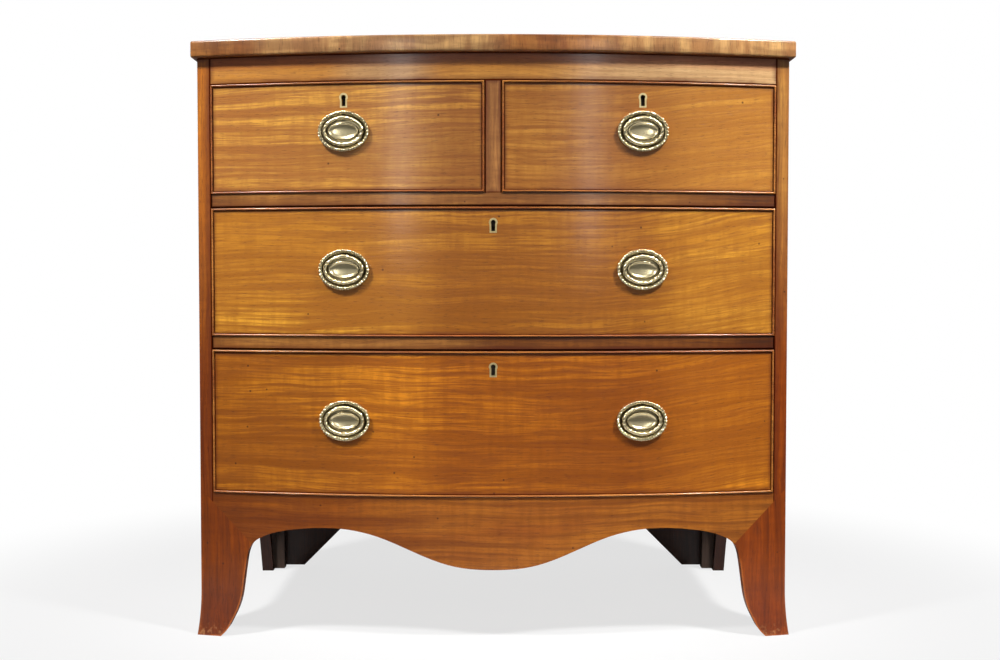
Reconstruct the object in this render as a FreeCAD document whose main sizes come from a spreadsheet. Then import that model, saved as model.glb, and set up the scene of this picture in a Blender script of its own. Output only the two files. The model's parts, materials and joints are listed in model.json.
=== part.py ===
import FreeCAD, Part
import math
import os
import re

import Sketcher
from FreeCAD import Vector

# Bow front chest of drawers: two short drawers over two long ones, on bracket feet with a
# shaped apron. Millimetres. +X is to the viewer's right, +Y to the back, +Z up. The origin
# is on the floor, under the middle of the chest's overall width and depth.
#
# Every curved front piece is concentric: its face lies on one cylinder, the bow, whose axis
# stands upright behind the chest. "bow_radius" is the radius of the carcass front.

document = FreeCAD.newDocument("bow_front_chest")

# ---------------------------------------------------------------------------------------
# Sizes: the driving dimensions, one cell each
# ---------------------------------------------------------------------------------------

SIZES = [
    # carcass
    ("carcass_width", 898, "outside of one side to outside of the other"),
    ("carcass_depth", 480, "back to the front corner, along a side"),
    ("bow_rise", 54, "how far the middle of the front stands before its corners"),
    ("base_height", 219.5, "floor to the bottom drawer's opening"),
    ("lower_opening", 220, "height of the bottom drawer's opening"),
    ("lower_rail_height", 19.5, ""),
    ("middle_opening", 195, "height of the upper long drawer's opening"),
    ("upper_rail_height", 20, ""),
    ("upper_opening", 166, "height of the short drawers' openings"),
    ("frieze_height", 40, "rail above the short drawers"),
    ("frieze_thickness", 24, ""),
    ("side_thickness", 20, ""),
    ("rail_depth", 60, "rails and divider, behind the front corner"),
    ("divider_width", 24, "upright between the short drawers"),
    ("housing_depth", 6, "grooves in the sides for the boards between them"),
    # top
    ("top_thickness", 25, ""),
    ("top_side_overhang", 8.5, ""),
    ("top_front_overhang", 12, ""),
    ("top_edge_ease", 1.5, "bevel along the top's front and side edges"),
    # boards inside the carcass
    ("bottom_thickness", 18, "board under the bottom drawer"),
    ("dustboard_thickness", 10, ""),
    ("dustboard_drop", 8, "rail's upper face to the dustboard's"),
    ("runner_width", 26, "strip under a drawer side"),
    ("centre_runner_width", 76, "strip under the short drawers' inner sides"),
    ("guide_height", 22, "strip between the short drawers, on the centre runner"),
    ("backboard_thickness", 12, ""),
    ("backboard_count", 4, ""),
    ("backboard_gap", 0.6, ""),
    ("rebate_width", 10, "rebate in each side for the backboards"),
    # base
    ("apron_thickness", 20, "apron, side aprons' feet and brackets"),
    ("foot_mitre_rise", 5.5, "top corner of a foot above the base's upper edge"),
    ("arch_drop", 48.5, "base's upper edge to the crown of the arches"),
    ("arch_from_centre", 236, "middle of the chest to the crown of an arch"),
    ("lobe_drop", 108.5, "base's upper edge to the low middle of the apron"),
    ("side_apron_height", 49.5, "side apron between the feet"),
    ("side_arch_spread", 46, "curve from the side apron down to each foot"),
    ("foot_top_width", 82, "front foot at the end of its mitre, from the corner"),
    ("foot_waist_width", 67, "front foot half way down"),
    ("foot_toe_width", 32, "front foot on the floor, less its flare"),
    ("flare_out", 5.5, "how far the toe splays"),
    ("flare_height", 70, "where the splay starts"),
    ("rear_foot_inset", 15, "taper of the rear foot's outer face, on the floor"),
    ("rear_toe_depth", 49, "rear foot's side bracket on the floor"),
    ("rear_bracket_reach", 200, "back bracket, from the carcass corner"),
    ("rear_bracket_toe", 90, "back bracket at its lower edge"),
    ("rear_bracket_lift", 5, "back bracket's lower edge above the floor"),
    # glue blocks
    ("block_width", 24, "blocks in the corners of the base"),
    ("block_lift", 26, "front blocks' lower end above the floor"),
    ("rear_block_width", 20, ""),
    ("apron_block_length", 60, ""),
    ("top_block_length", 70, ""),
    # drawers
    ("drawer_gap", 1.0, "round a drawer front in its opening"),
    ("drawer_run_gap", 0.3, "drawer sides above their runners"),
    ("drawer_rear_gap", 12, "drawer back to the backboards"),
    ("front_thickness", 24, "drawer front"),
    ("drawer_side_thickness", 10, ""),
    ("drawer_back_thickness", 10, ""),
    ("drawer_back_drop", 10, "drawer back below the top of the sides"),
    ("drawer_bottom_thickness", 8, ""),
    ("drawer_bottom_raise", 9, "drawer bottom above the sides' lower edge"),
    ("drawer_groove", 5, "depth of the grooves for the drawer bottom"),
    ("tail_pitch", 36, "about one dovetail for this much of the height"),
    ("tail_neck", 13, "dovetail where it leaves the side"),
    ("tail_slope", 0.17, "flare of a dovetail for its length"),
    ("tail_lap", 10, "wood left in front of the dovetails"),
    ("stop_width", 40, "drawer stops on the rails"),
    ("stop_depth", 12, ""),
    ("stop_height", 6, ""),
    ("stop_clearance", 0.5, ""),
    ("short_stop_from_centre", 120, ""),
    ("long_stop_from_centre", 300, ""),
    # cock beads
    ("bead_thickness", 3, "seen from the front"),
    ("bead_proud", 2.5, "before the drawer front"),
    ("bead_seat", 8, "into the drawer front"),
    ("bead_ease", 0.9, "bevel of the two edges of its nose"),
    # locks
    ("lock_from_centre", 222.5, "keyholes of the short drawers"),
    ("keyhole_drop", 24, "opening's upper edge to the keyhole's round head"),
    ("keyhole_head", 3.6, "radius"),
    ("keyhole_slot", 5.7, "width"),
    ("keyhole_tail", 13, "head's centre to the slot's end"),
    ("thread_head", 6.45, "radius of the brass thread round the head"),
    ("thread_tail_width", 10.8, "brass thread round the slot"),
    ("thread_tail", 15.35, "head's centre to the thread's end"),
    ("thread_depth", 4, "into the drawer front"),
    ("lock_width", 54, ""),
    ("lock_height", 40, ""),
    ("lock_depth", 11.2, ""),
    ("lock_wall", 1.6, ""),
    ("lock_top_length", 66, "plate let into the drawer front's upper edge"),
    ("lock_top_thickness", 2.5, ""),
    ("bolt_width", 16, ""),
    ("bolt_thickness", 5, ""),
    ("bolt_length", 18, ""),
    ("bolt_clearance", 0.4, "bolt in its lock"),
    ("mortise_depth", 9, "for the bolt, in the rail above"),
    ("mortise_clearance", 2, ""),
    # handles: every oval is drawn parallel to the ring's centre line
    ("handle_from_centre", 222.5, ""),
    ("upper_handle_height", 91.5, "opening's lower edge to the handle"),
    ("middle_handle_height", 101, ""),
    ("lower_handle_height", 114.5, ""),
    ("ring_half_width", 28.25, "centre line"),
    ("ring_half_height", 19.75, "centre line"),
    ("ring_end_radius", 15, "centre line, at the two ends"),
    ("ring_section", 2.9, "radius of the ring's section"),
    ("ring_sides", 8, "faces of that section"),
    ("end_leaves", 8, "cast leaves round each end of the ring"),
    ("flat_leaves", 6, "cast leaves along its top and along its bottom"),
    ("ring_pin", 1.5, "radius where the ring turns in its eye"),
    ("plate_margin", 9.75, "backplate's edge outside the ring's centre line"),
    ("plate_thickness", 1.6, ""),
    ("rim_width", 3.5, ""),
    ("rim_height", 3.2, "from the plate's back"),
    ("rim_ease", 1.1, "bevel of the rim"),
    ("boss_margin", 6.25, "boss's edge inside the ring's centre line"),
    ("boss_height", 4.0, "from the plate's back"),
    ("boss_ease", 1.0, "slope of the boss's and the dish's walls"),
    ("dish_margin", 10.2, "dish's edge inside the ring's centre line"),
    ("dish_depth", 1.2, ""),
    ("ring_clearance", 0.5, "ring before the plate"),
    ("eye_radius", 3.4, "to the corners of the barrel that the ring turns in"),
    ("eye_length", 6.4, ""),
    ("eye_clearance", 0.1, "ring's pin in the eye, and its cheeks"),
    ("stem_radius", 2.2, ""),
    ("stem_clearance", 0.2, "stem in the drawer front"),
    ("nut_radius", 6, "across its corners"),
    ("nut_thickness", 3.5, ""),
    ("nut_seat", 0.2, "nut behind the hollow back of the drawer front"),
]

# What follows from the driving dimensions. Each line may use the lines above it.
LAYOUT = [
    ("half_width", "carcass_width / 2"),
    ("opening_half", "half_width - side_thickness"),
    ("back_y", "(carcass_depth + bow_rise + top_front_overhang) / 2"),
    ("corner_y", "back_y - carcass_depth"),
    ("bow_radius", "(half_width^2 + bow_rise^2) / (2 * bow_rise)"),
    ("bow_centre_y", "corner_y - bow_rise + bow_radius"),
    ("rail_back_y", "corner_y + rail_depth"),
    ("board_back_y", "back_y - backboard_thickness"),
    ("drawer_back_y", "board_back_y - drawer_rear_gap"),
    ("base_underside", "base_height - bottom_thickness"),
    ("lower_ceiling", "base_height + lower_opening"),
    ("middle_floor", "lower_ceiling + lower_rail_height"),
    ("middle_ceiling", "middle_floor + middle_opening"),
    ("upper_floor", "middle_ceiling + upper_rail_height"),
    ("upper_ceiling", "upper_floor + upper_opening"),
    ("top_underside", "upper_ceiling + frieze_height"),
    ("foot_top", "base_height + foot_mitre_rise"),
    ("knee_z", "foot_top - foot_top_width"),
    ("drawer_outer", "opening_half - drawer_gap"),
    ("short_inner", "divider_width / 2 + drawer_gap"),
    ("inner_bow", "bow_radius - front_thickness"),
    ("ring_flat_radius", "((ring_half_width - ring_end_radius)^2 + ring_half_height^2"
                         " - ring_end_radius^2) / (2 * (ring_half_height - ring_end_radius))"),
    ("ring_y", "plate_thickness + ring_clearance + ring_section"),
]

sizes = document.addObject("Spreadsheet::Sheet", "Sizes")
layout = document.addObject("Spreadsheet::Sheet", "Layout")
SHEET_OF = {}


def bound(text):
    """An expression in which each alias is written with the name of its sheet."""
    return re.sub(r"[a-z][a-z_]+", lambda word: SHEET_OF.get(word[0], "") + word[0], str(text))


for row, (alias, size, note) in enumerate(SIZES, start=1):
    sizes.set(f"A{row}", alias)
    sizes.set(f"B{row}", str(size))
    sizes.set(f"C{row}", note)
    sizes.setAlias(f"B{row}", alias)
    SHEET_OF[alias] = "Sizes."

for row, (alias, rule) in enumerate(LAYOUT, start=1):
    layout.set(f"A{row}", alias)
    layout.set(f"B{row}", "=" + bound(rule).replace("Layout.", ""))
    layout.setAlias(f"B{row}", alias)
    SHEET_OF[alias] = "Layout."

document.recompute()


def number(text):
    """The value that an expression has now."""
    return float(sizes.evalExpression(bound(text)))


# ---------------------------------------------------------------------------------------
# Small helpers: each makes one object, with its sizes bound to the sheets
# ---------------------------------------------------------------------------------------

NODES = {}


def node(name, piece):
    """Gives a finished sub-part the name of its node and file."""
    piece.Label = name
    NODES[name] = piece
    return piece


def bind(piece, **rules):
    for name, rule in rules.items():
        piece.setExpression(name, bound(rule))
    return piece


def place(piece, x="0", y="0", z="0", turn="0"):
    """Puts a piece at a point, turned about the upright axis."""
    rule = f"placement(vector({x}; {y}; {z}); rotation(vector(0; 0; 1); {turn}))"
    piece.setExpression("Placement", bound(rule))
    return piece


def place_on_bow(piece, distance, z, radius="bow_radius"):
    """Stands a piece on the bow, square to it, at a distance from the middle of the chest."""
    turn = f"rotation(vector(0; 0; 1); asin(({distance}) / ({radius})))"
    rule = (f"placement(vector(0; bow_centre_y; {z}); {turn})"
            f" * placement(vector(0; -({radius}); 0); rotation(vector(0; 0; 1); 0))")
    piece.setExpression("Placement", bound(rule))
    return piece


def box(name, x, y, z):
    """A box between two limits along each axis."""
    piece = document.addObject("Part::Box", name)
    bind(piece, Length=f"({x[1]}) - ({x[0]})", Width=f"({y[1]}) - ({y[0]})",
         Height=f"({z[1]}) - ({z[0]})")
    return place(piece, x[0], y[0], z[0])


def rod(name, radius, length, axis, start):
    """A cylinder that starts at a point and runs along X or Y."""
    piece = document.addObject("Part::Cylinder", name)
    bind(piece, Radius=radius, Height=length)
    x, y, z = start
    turn = {"x": "vector(0; 1; 0); 90", "y": "vector(1; 0; 0); -90"}[axis]
    piece.setExpression("Placement", bound(f"placement(vector({x}; {y}; {z}); rotation({turn}))"))
    return piece


def cut(name, base, tool):
    piece = document.addObject("Part::Cut", name)
    piece.Base = base
    piece.Tool = tool
    return piece


def common(name, first, second):
    piece = document.addObject("Part::Common", name)
    piece.Base = first
    piece.Tool = second
    return piece


def fuse(name, *pieces):
    piece = document.addObject("Part::MultiFuse", name)
    piece.Shapes = list(pieces)
    piece.Refine = True
    return piece


def group(name, *pieces):
    """Separate solids that share one node."""
    piece = document.addObject("Part::Compound", name)
    piece.Links = list(pieces)
    return piece


def mirrored(name, source):
    """The same piece on the other side of the chest."""
    piece = document.addObject("Part::Mirroring", name)
    piece.Source = source
    piece.Normal = Vector(1, 0, 0)
    return piece


def outline(body, name, role, corners, arcs=None, lift="0"):
    """A closed sketch on one of the body's planes. Each corner is a pair of expressions.
    arcs gives the sides that are round, by number: a radius, and the side of the travel on
    which the centre lies (1 is left, -1 is right)."""
    arcs = arcs or {}
    sketch = body.newObject("Sketcher::SketchObject", name)
    plane = next(item for item in body.Origin.OriginFeatures if item.Role == role)
    sketch.AttachmentSupport = [(plane, "")]
    sketch.MapMode = "FlatFace"
    sketch.setExpression("AttachmentOffset.Base.z", bound(lift))
    points = [Vector(number(x), number(y), 0) for x, y in corners]
    count = len(points)
    ends = []
    for index in range(count):
        start = points[index]
        finish = points[(index + 1) % count]
        if index in arcs:
            rule, hand = arcs[index]
            radius = number(rule)
            chord = finish - start
            rise = math.sqrt(max(radius ** 2 - chord.Length ** 2 / 4, 0))
            left = Vector(-chord.y, chord.x, 0).normalize()
            centre = (start + finish) / 2 + left * rise * hand
            first, last = (start, finish) if hand > 0 else (finish, start)
            angles = [math.atan2(p.y - centre.y, p.x - centre.x) for p in (first, last)]
            circle = Part.Circle(centre, Vector(0, 0, 1), radius)
            side = sketch.addGeometry(Part.ArcOfCircle(circle, *angles), False)
            ends.append((side, 1, 2) if hand > 0 else (side, 2, 1))
            fixed = sketch.addConstraint(Sketcher.Constraint("Radius", side, radius))
            sketch.setExpression(f"Constraints[{fixed}]", bound(rule))
        else:
            side = sketch.addGeometry(Part.LineSegment(start, finish), False)
            ends.append((side, 1, 2))
    for index, (side, start, finish) in enumerate(ends):
        before = ends[index - 1]
        sketch.addConstraint(Sketcher.Constraint("Coincident", before[0], before[2], side, start))
        for kind, rule, value in (("DistanceX", corners[index][0], points[index].x),
                                  ("DistanceY", corners[index][1], points[index].y)):
            fixed = sketch.addConstraint(Sketcher.Constraint(kind, -1, 1, side, start, value))
            sketch.setExpression(f"Constraints[{fixed}]", bound(rule))
    return sketch


def new_body(name):
    return document.addObject("PartDesign::Body", name)


def pad(body, sketch, length):
    feature = body.newObject("PartDesign::Pad", sketch.Name + "_pad")
    feature.Profile = sketch
    return bind(feature, Length=length)


def ease_edges(body, base, size, chosen):
    """Bevels the edges of a feature that the test picks."""
    document.recompute()
    names = [f"Edge{i}" for i, edge in enumerate(base.Shape.Edges, start=1) if chosen(edge)]
    feature = body.newObject("PartDesign::Chamfer", body.Name + "_ease")
    feature.Base = (base, names)
    return bind(feature, Size=size)


def on_bow(radius, x):
    """Where a circle about the bow's axis crosses a given x, measured from that axis."""
    return f"-sqrt(({radius})^2 - ({x})^2)"


def bowed(name, x, inner, outer, z):
    """A board bent to the bow: flat ends, and both faces on circles about the bow's axis."""
    body = new_body(name)
    corners = [(x[0], on_bow(outer, x[0])), (x[1], on_bow(outer, x[1])),
               (x[1], on_bow(inner, x[1])), (x[0], on_bow(inner, x[0]))]
    sketch = outline(body, name + "_plan", "XY_Plane", corners, {0: (outer, 1), 2: (inner, -1)})
    pad(body, sketch, f"({z[1]}) - ({z[0]})")
    return place(body, "0", "bow_centre_y", z[0])


def bow_fronted(name, x, radius, back, z):
    """A flat board whose front edge follows the bow and whose back edge is straight."""
    body = new_body(name)
    rear = f"({back}) - bow_centre_y"
    corners = [(x[0], on_bow(radius, x[0])), (x[1], on_bow(radius, x[1])),
               (x[1], rear), (x[0], rear)]
    sketch = outline(body, name + "_plan", "XY_Plane", corners, {0: (radius, 1)})
    pad(body, sketch, f"({z[1]}) - ({z[0]})")
    return place(body, "0", "bow_centre_y", z[0])


def upright(name, role, corners, thickness, start, arcs=None):
    """A board cut from its face outline: XZ_Plane outlines grow forwards from y = start,
    YZ_Plane outlines grow to the right from x = start."""
    body = new_body(name)
    pad(body, outline(body, name + "_face", role, corners, arcs), thickness)
    if role == "XZ_Plane":
        return place(body, y=start)
    return place(body, x=start)


# ---------------------------------------------------------------------------------------
# Feet and apron share one flowing line, from the middle of the apron to the toe
# ---------------------------------------------------------------------------------------

# Where the foot's inner edge passes, as shares of the height of its mitre's end and of the
# taper from one named width to the next.
FOOT_LINE = [(0.79, "foot_waist_width + (foot_top_width - foot_waist_width) * 0.33"),
             (0.545, "foot_waist_width"),
             (0.32, "foot_waist_width - (foot_waist_width - foot_toe_width) * 0.2"),
             (0.13, "foot_waist_width - (foot_waist_width - foot_toe_width) * 0.57")]


def foot_line():
    """The foot's inner edge from its mitre to the floor: distance from the corner, height."""
    knee = number("knee_z")
    points = [(number("foot_top_width"), knee)]
    points += [(number(width), knee * share) for share, width in FOOT_LINE]
    return points + [(number("foot_toe_width"), 0)]


def smooth(points, first=None, last=None):
    """One curve through points given as (across, up), level or upright at its ends."""
    curve = Part.BSplineCurve()
    track = [Vector(across, 0, up) for across, up in points]
    if first is None:
        curve.interpolate(track)
    else:
        curve.interpolate(Points=track, InitialTangent=first, FinalTangent=last)
    return curve.toShape()


def straight(points):
    """Straight edges through points given as (across, up)."""
    track = [Vector(across, 0, up) for across, up in points]
    return [Part.LineSegment(a, b).toShape() for a, b in zip(track, track[1:])]


def front_skirt_face():
    """Right half of the wood seen below the drawers, up to a level above the foot's top."""
    half = number("half_width")
    base = number("base_height")
    lobe = base - number("lobe_drop")
    crown = number("arch_from_centre")
    rise = number("lobe_drop") - number("arch_drop")
    knee = number("knee_z")
    arch = lobe + rise
    edge = half - number("foot_top_width")
    points = [(0, lobe), (crown * 0.255, lobe + rise * 0.09), (crown * 0.5, lobe + rise * 0.43),
              (crown * 0.745, lobe + rise * 0.82), (crown, arch),
              (crown + (edge - crown) * 0.52, arch - (arch - knee) * 0.13),
              (crown + (edge - crown) * 0.85, arch - (arch - knee) * 0.52)]
    points += [(half - width, up) for width, up in foot_line()]
    ground = points[-1][0]
    outside = half + 2 * number("flare_out")
    level = number("foot_top") + 2 * number("flare_out")
    curve = smooth(points, Vector(1, 0, 0), Vector(1, 0, -0.9))
    lines = straight([(ground, 0), (outside, 0), (outside, level), (0, level), (0, lobe)])
    return Part.Face(Part.Wire([curve] + lines))


def side_foot_face():
    """A front foot's side bracket, seen from the right: distance behind the front corner."""
    points = foot_line()
    front = -2 * number("flare_out") - number("bow_rise")
    knee = points[0]
    rise = number("side_thickness") + number("bow_rise")
    curve = smooth(points)
    lines = straight([(points[-1][0], 0), (front, 0), (front, knee[1] + knee[0] + rise),
                      (knee[0], knee[1] + knee[0] + rise), knee])
    return Part.Face(Part.Wire([curve] + lines))


def rear_foot_face():
    """A rear foot's side bracket, seen from the right: distance from the back corner."""
    top = number("foot_top_width")
    knee = number("knee_z")
    toe = number("rear_toe_depth")
    points = [(top, knee), (toe + (top - toe) * 0.42, knee * 0.72), (toe + (top - toe) * 0.1,
              knee * 0.35), (toe, 0)]
    lines = straight([(toe, 0), (0, 0), (0, knee + top), (top, knee)])
    return Part.Face(Part.Wire([smooth(points)] + lines))


def flat(name, face):
    """Keeps a freely curved face as an object, drawn in the XZ plane."""
    piece = document.addObject("Part::Feature", name)
    piece.Shape = face
    return piece


def thick(name, face, depth, start, turned=False):
    """Gives a face its thickness. Turned faces are seen from the right, and run back."""
    piece = document.addObject("Part::Extrusion", name)
    piece.Base = face
    piece.DirMode = "Custom"
    piece.Dir = Vector(0, -1, 0)
    piece.Solid = True
    bind(piece, LengthFwd=depth)
    x, y = start
    turn = "90" if turned else "0"
    return place(piece, x, y, "0", turn)


front_face = flat("front_skirt_line", front_skirt_face())
side_face = flat("side_foot_line", side_foot_face())
rear_face = flat("rear_foot_line", rear_foot_face())

front_reach = "bow_rise + side_thickness + rail_depth"
front_skirt = thick("front_skirt", front_face, f"2 * ({front_reach})",
                    ("0", f"corner_y + {front_reach}"))
side_skirt = thick("side_skirt", side_face, "2 * side_thickness + 4 * flare_out",
                   ("half_width - 2 * side_thickness", "corner_y"), turned=True)

# The bottom board and the space for the backboards, which the feet are cut round.
housed = ("-(opening_half + housing_depth)", "opening_half + housing_depth")
carcass_bottom = node("carcass_bottom", bow_fronted(
    "carcass_bottom", housed, "bow_radius - apron_thickness", "board_back_y",
    ("base_underside", "base_height")))
backboard_space = box("backboard_space", ("0", "opening_half + rebate_width"),
                      ("board_back_y", "back_y"), ("base_underside", "top_underside"))

# The splayed outer face of a front foot, in section: upright, then a curve out to the floor.
flare_radius = "(flare_height^2 + flare_out^2) / (2 * flare_out)"


def flared_section(body, name, role, inner, outer, hand):
    """The section between an upright inner line and the flared outer line."""
    corners = [(inner, "0"), (f"({outer}) + ({hand}) * flare_out", "0"),
               (outer, "flare_height"), (outer, "foot_top + flare_out"),
               (inner, "foot_top + flare_out")]
    return outline(body, name, role, corners, {1: (flare_radius, -hand)})


flared_front = new_body("flared_front")
section = flared_section(flared_front, "flared_front_section", "YZ_Plane",
                         "-bow_radius + 2 * rail_depth", "-bow_radius", -1)
turned_front = flared_front.newObject("PartDesign::Revolution", "flared_front_turn")
turned_front.Profile = section
turned_front.ReferenceAxis = (section, ["V_Axis"])
turned_front.Midplane = True
bind(turned_front, Angle="2 * asin((half_width + 4 * flare_out) / bow_radius)")
place(flared_front, "0", "bow_centre_y", "0")

flared_side = new_body("flared_side")
section = flared_section(flared_side, "flared_side_section", "XZ_Plane",
                         "half_width - foot_top", "half_width", 1)
pad(flared_side, section, "bow_rise + 2 * rail_depth")
place(flared_side, "0", "corner_y + 2 * rail_depth - flare_out", "0")

foot_hollow = bowed("foot_hollow", ("half_width - 1.5 * foot_top", "opening_half"),
                    "bow_radius - 3 * rail_depth", "bow_radius - apron_thickness",
                    ("-flare_out", "foot_top + 2 * flare_out"))
foot_shell = cut("foot_shell", common("foot_block", flared_front, flared_side), foot_hollow)
foot_shell = cut("foot_shell_housed", foot_shell, carcass_bottom)

mitre_far = "(half_width + 2 * flare_out)"
foot_triangle = upright(
    "foot_triangle", "XZ_Plane",
    [("half_width - foot_top", "0"), (mitre_far, "0"), (mitre_far, "foot_top + 2 * flare_out")],
    f"2 * ({front_reach})", f"corner_y + {front_reach}")
side_triangle = upright(
    "side_triangle", "YZ_Plane",
    [("corner_y - 2 * flare_out", "0"), ("corner_y + foot_top", "0"),
     ("corner_y - 2 * flare_out", "foot_top + 2 * flare_out")],
    "3 * side_thickness", "half_width - 2 * side_thickness")

# The corner mitre of a foot, in plan: in front of it the front bracket, behind it the other.
mitre_plan = new_body("mitre_plan")
mitre_reach = "(2 * flare_out)"
pad(mitre_plan, outline(
    mitre_plan, "mitre_plan_face", "XY_Plane",
    [(f"half_width + {mitre_reach}", f"corner_y - {mitre_reach}"),
     ("half_width - rail_depth", "corner_y + rail_depth"),
     ("half_width - foot_top", "corner_y + rail_depth"),
     ("half_width - foot_top", "corner_y - bow_rise - flare_out"),
     (f"half_width + {mitre_reach}", "corner_y - bow_rise - flare_out")]),
    "foot_top + 2 * flare_out")

front_bracket = common("front_foot_front_bracket",
                       common("front_foot_face_wood", foot_shell, front_skirt),
                       common("front_foot_front_zone", foot_triangle, mitre_plan))
side_bracket = common("front_foot_side_bracket",
                      common("side_foot_face_wood", foot_shell, side_skirt),
                      cut("front_foot_side_zone", side_triangle, mitre_plan))
foot_right = node("front_foot_right", group("front_foot_right", front_bracket, side_bracket))
node("front_foot_left", mirrored("front_foot_left", foot_right))

# Rear feet: a side bracket that tapers inwards, and a plain board across the back.
rear_taper = upright(
    "rear_taper", "XZ_Plane",
    [("half_width - rear_foot_inset - apron_thickness", "0"),
     ("half_width - rear_foot_inset", "0"), ("half_width", "foot_top"),
     ("half_width - apron_thickness", "foot_top")],
    "2 * foot_top_width", "back_y")
rear_skirt = thick("rear_skirt", rear_face, "3 * side_thickness + rear_foot_inset",
                   ("half_width + side_thickness", "back_y"))
place(rear_skirt, "half_width + side_thickness", "back_y", "0", "-90")
rear_side_bracket = common("rear_foot_side_wood", rear_taper, rear_skirt)
rear_side_bracket = cut("rear_foot_side_housed", rear_side_bracket, carcass_bottom)
rear_side_bracket = cut("rear_foot_side_bracket", rear_side_bracket, backboard_space)
rear_slant = "(rear_bracket_reach - rear_bracket_toe)"
rear_back_bracket = upright(
    "rear_foot_back_bracket", "XZ_Plane",
    [("half_width - rear_bracket_toe", "rear_bracket_lift"),
     ("half_width - rear_foot_inset * (1 - rear_bracket_lift / foot_top) - apron_thickness",
      "rear_bracket_lift"),
     ("half_width - rear_foot_inset * (1 - base_underside / foot_top) - apron_thickness",
      "base_underside"),
     ("half_width - rear_bracket_reach", "base_underside"),
     ("half_width - rear_bracket_reach", f"rear_bracket_lift + {rear_slant}")],
    "apron_thickness", "back_y")
rear_right = node("rear_foot_right", group("rear_foot_right", rear_side_bracket,
                                           rear_back_bracket))
node("rear_foot_left", mirrored("rear_foot_left", rear_right))

# The apron lies between the mitres of the front feet, on the bow.
apron_band = bowed("apron_band", ("-opening_half", "opening_half"),
                   "bow_radius - apron_thickness", "bow_radius", ("0", "base_height"))
apron_half = cut("apron_half", common("apron_right_wood", apron_band, front_skirt),
                 foot_triangle)
apron = node("apron", fuse("apron", apron_half, mirrored("apron_other_half", apron_half)))

# ---------------------------------------------------------------------------------------
# Carcass
# ---------------------------------------------------------------------------------------

inside = ("-opening_half", "opening_half")

rail_upper = bow_fronted("rail_upper_board", inside, "bow_radius", "rail_back_y",
                         ("middle_ceiling", "upper_floor"))
rail_lower = bow_fronted("rail_lower_board", inside, "bow_radius", "rail_back_y",
                         ("lower_ceiling", "middle_floor"))
frieze_board = bowed("frieze_board", inside, "bow_radius - frieze_thickness", "bow_radius",
                     ("upper_ceiling", "top_underside"))


def dustboard(name, rail_top):
    level = (f"{rail_top} - dustboard_drop - dustboard_thickness", f"{rail_top} - dustboard_drop")
    return box(name, housed, ("rail_back_y", "board_back_y"), level)


dustboards = node("dustboards", group("dustboards", dustboard("dustboard_upper", "upper_floor"),
                                      dustboard("dustboard_lower", "middle_floor")))

node("drawer_divider", bow_fronted(
    "drawer_divider", ("-divider_width / 2", "divider_width / 2"), "bow_radius", "rail_back_y",
    ("upper_floor", "upper_ceiling")))

# Runners lie on the dustboards, level with the rails. The guide keeps the short drawers apart.
runner_run = ("rail_back_y", "board_back_y")
strips = []
for level in ("upper_floor", "middle_floor"):
    thin = (f"{level} - dustboard_drop", level)
    strips.append(box("runner_left", ("-opening_half", "runner_width - opening_half"),
                      runner_run, thin))
    strips.append(box("runner_right", ("opening_half - runner_width", "opening_half"),
                      runner_run, thin))
strips.append(box("runner_centre", ("-centre_runner_width / 2", "centre_runner_width / 2"),
                  runner_run, ("upper_floor - dustboard_drop", "upper_floor")))
strips.append(box("guide_centre", ("-divider_width / 2", "divider_width / 2"), runner_run,
                  ("upper_floor", "upper_floor + guide_height")))
node("drawer_runners", group("drawer_runners", *strips))


def drawer_stop(distance, floor):
    """A block on a rail, square to the bow, just behind a drawer front."""
    block = document.addObject("Part::Box", "drawer_stop")
    bind(block, Length="stop_width", Width="stop_depth", Height="stop_height")
    turn = f"rotation(vector(0; 0; 1); asin(({distance}) / inner_bow))"
    rule = (f"placement(vector(0; bow_centre_y; {floor}); {turn})"
            " * placement(vector(-stop_width / 2; stop_clearance - inner_bow; 0);"
            " rotation(vector(0; 0; 1); 0))")
    block.setExpression("Placement", bound(rule))
    return block


stops = []
for hand in ("-", ""):
    far = "lock_from_centre + short_stop_from_centre"
    near = "lock_from_centre - short_stop_from_centre"
    stops.append(drawer_stop(f"{hand}({far})", "upper_floor"))
    stops.append(drawer_stop(f"{hand}({near})", "upper_floor"))
    for level in ("middle_floor", "base_height"):
        stops.append(drawer_stop(f"{hand}long_stop_from_centre", level))
node("drawer_stops", group("drawer_stops", *stops))

# Sides: a board with the bow on its front edge, a rebate for the backboards, housings for
# the boards that it carries, and mitred lower corners for the feet.
side_board = bow_fronted("side_board", ("opening_half", "half_width"), "bow_radius", "back_y",
                         ("knee_z", "top_underside"))
arch_rise = "(base_height - side_apron_height - knee_z)"
arch_radius = f"(side_arch_spread^2 + {arch_rise}^2) / (2 * {arch_rise})"
side_arch = upright(
    "side_arch", "YZ_Plane",
    [("corner_y + foot_top_width", "knee_z"),
     ("corner_y + foot_top_width + side_arch_spread", f"knee_z + {arch_rise}"),
     ("back_y - foot_top_width - side_arch_spread", f"knee_z + {arch_rise}"),
     ("back_y - foot_top_width", "knee_z")],
    "2 * side_thickness", "opening_half - side_thickness / 2",
    {0: (arch_radius, -1), 2: (arch_radius, -1)})
rear_triangle = upright(
    "rear_triangle", "YZ_Plane",
    [("back_y - foot_top", "0"), ("back_y", "0"), ("back_y", "foot_top")],
    "2 * side_thickness", "opening_half - side_thickness")
front_corner = fuse("side_corner_mitres", common("side_mitre_front", foot_triangle, mitre_plan),
                    cut("side_mitre_side", side_triangle, mitre_plan))
side = cut("side_with_rebate", side_board, backboard_space)
side = cut("side_with_arch", side, side_arch)
side = cut("side_on_front_foot", side, front_corner)
side = cut("side_on_rear_foot", side, rear_triangle)
side = cut("side_with_bottom_housing", side, carcass_bottom)
side = cut("side_with_housings", side, dustboards)
side_right = node("side_right", side)
side_left = node("side_left", mirrored("side_left", side_right))

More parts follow.
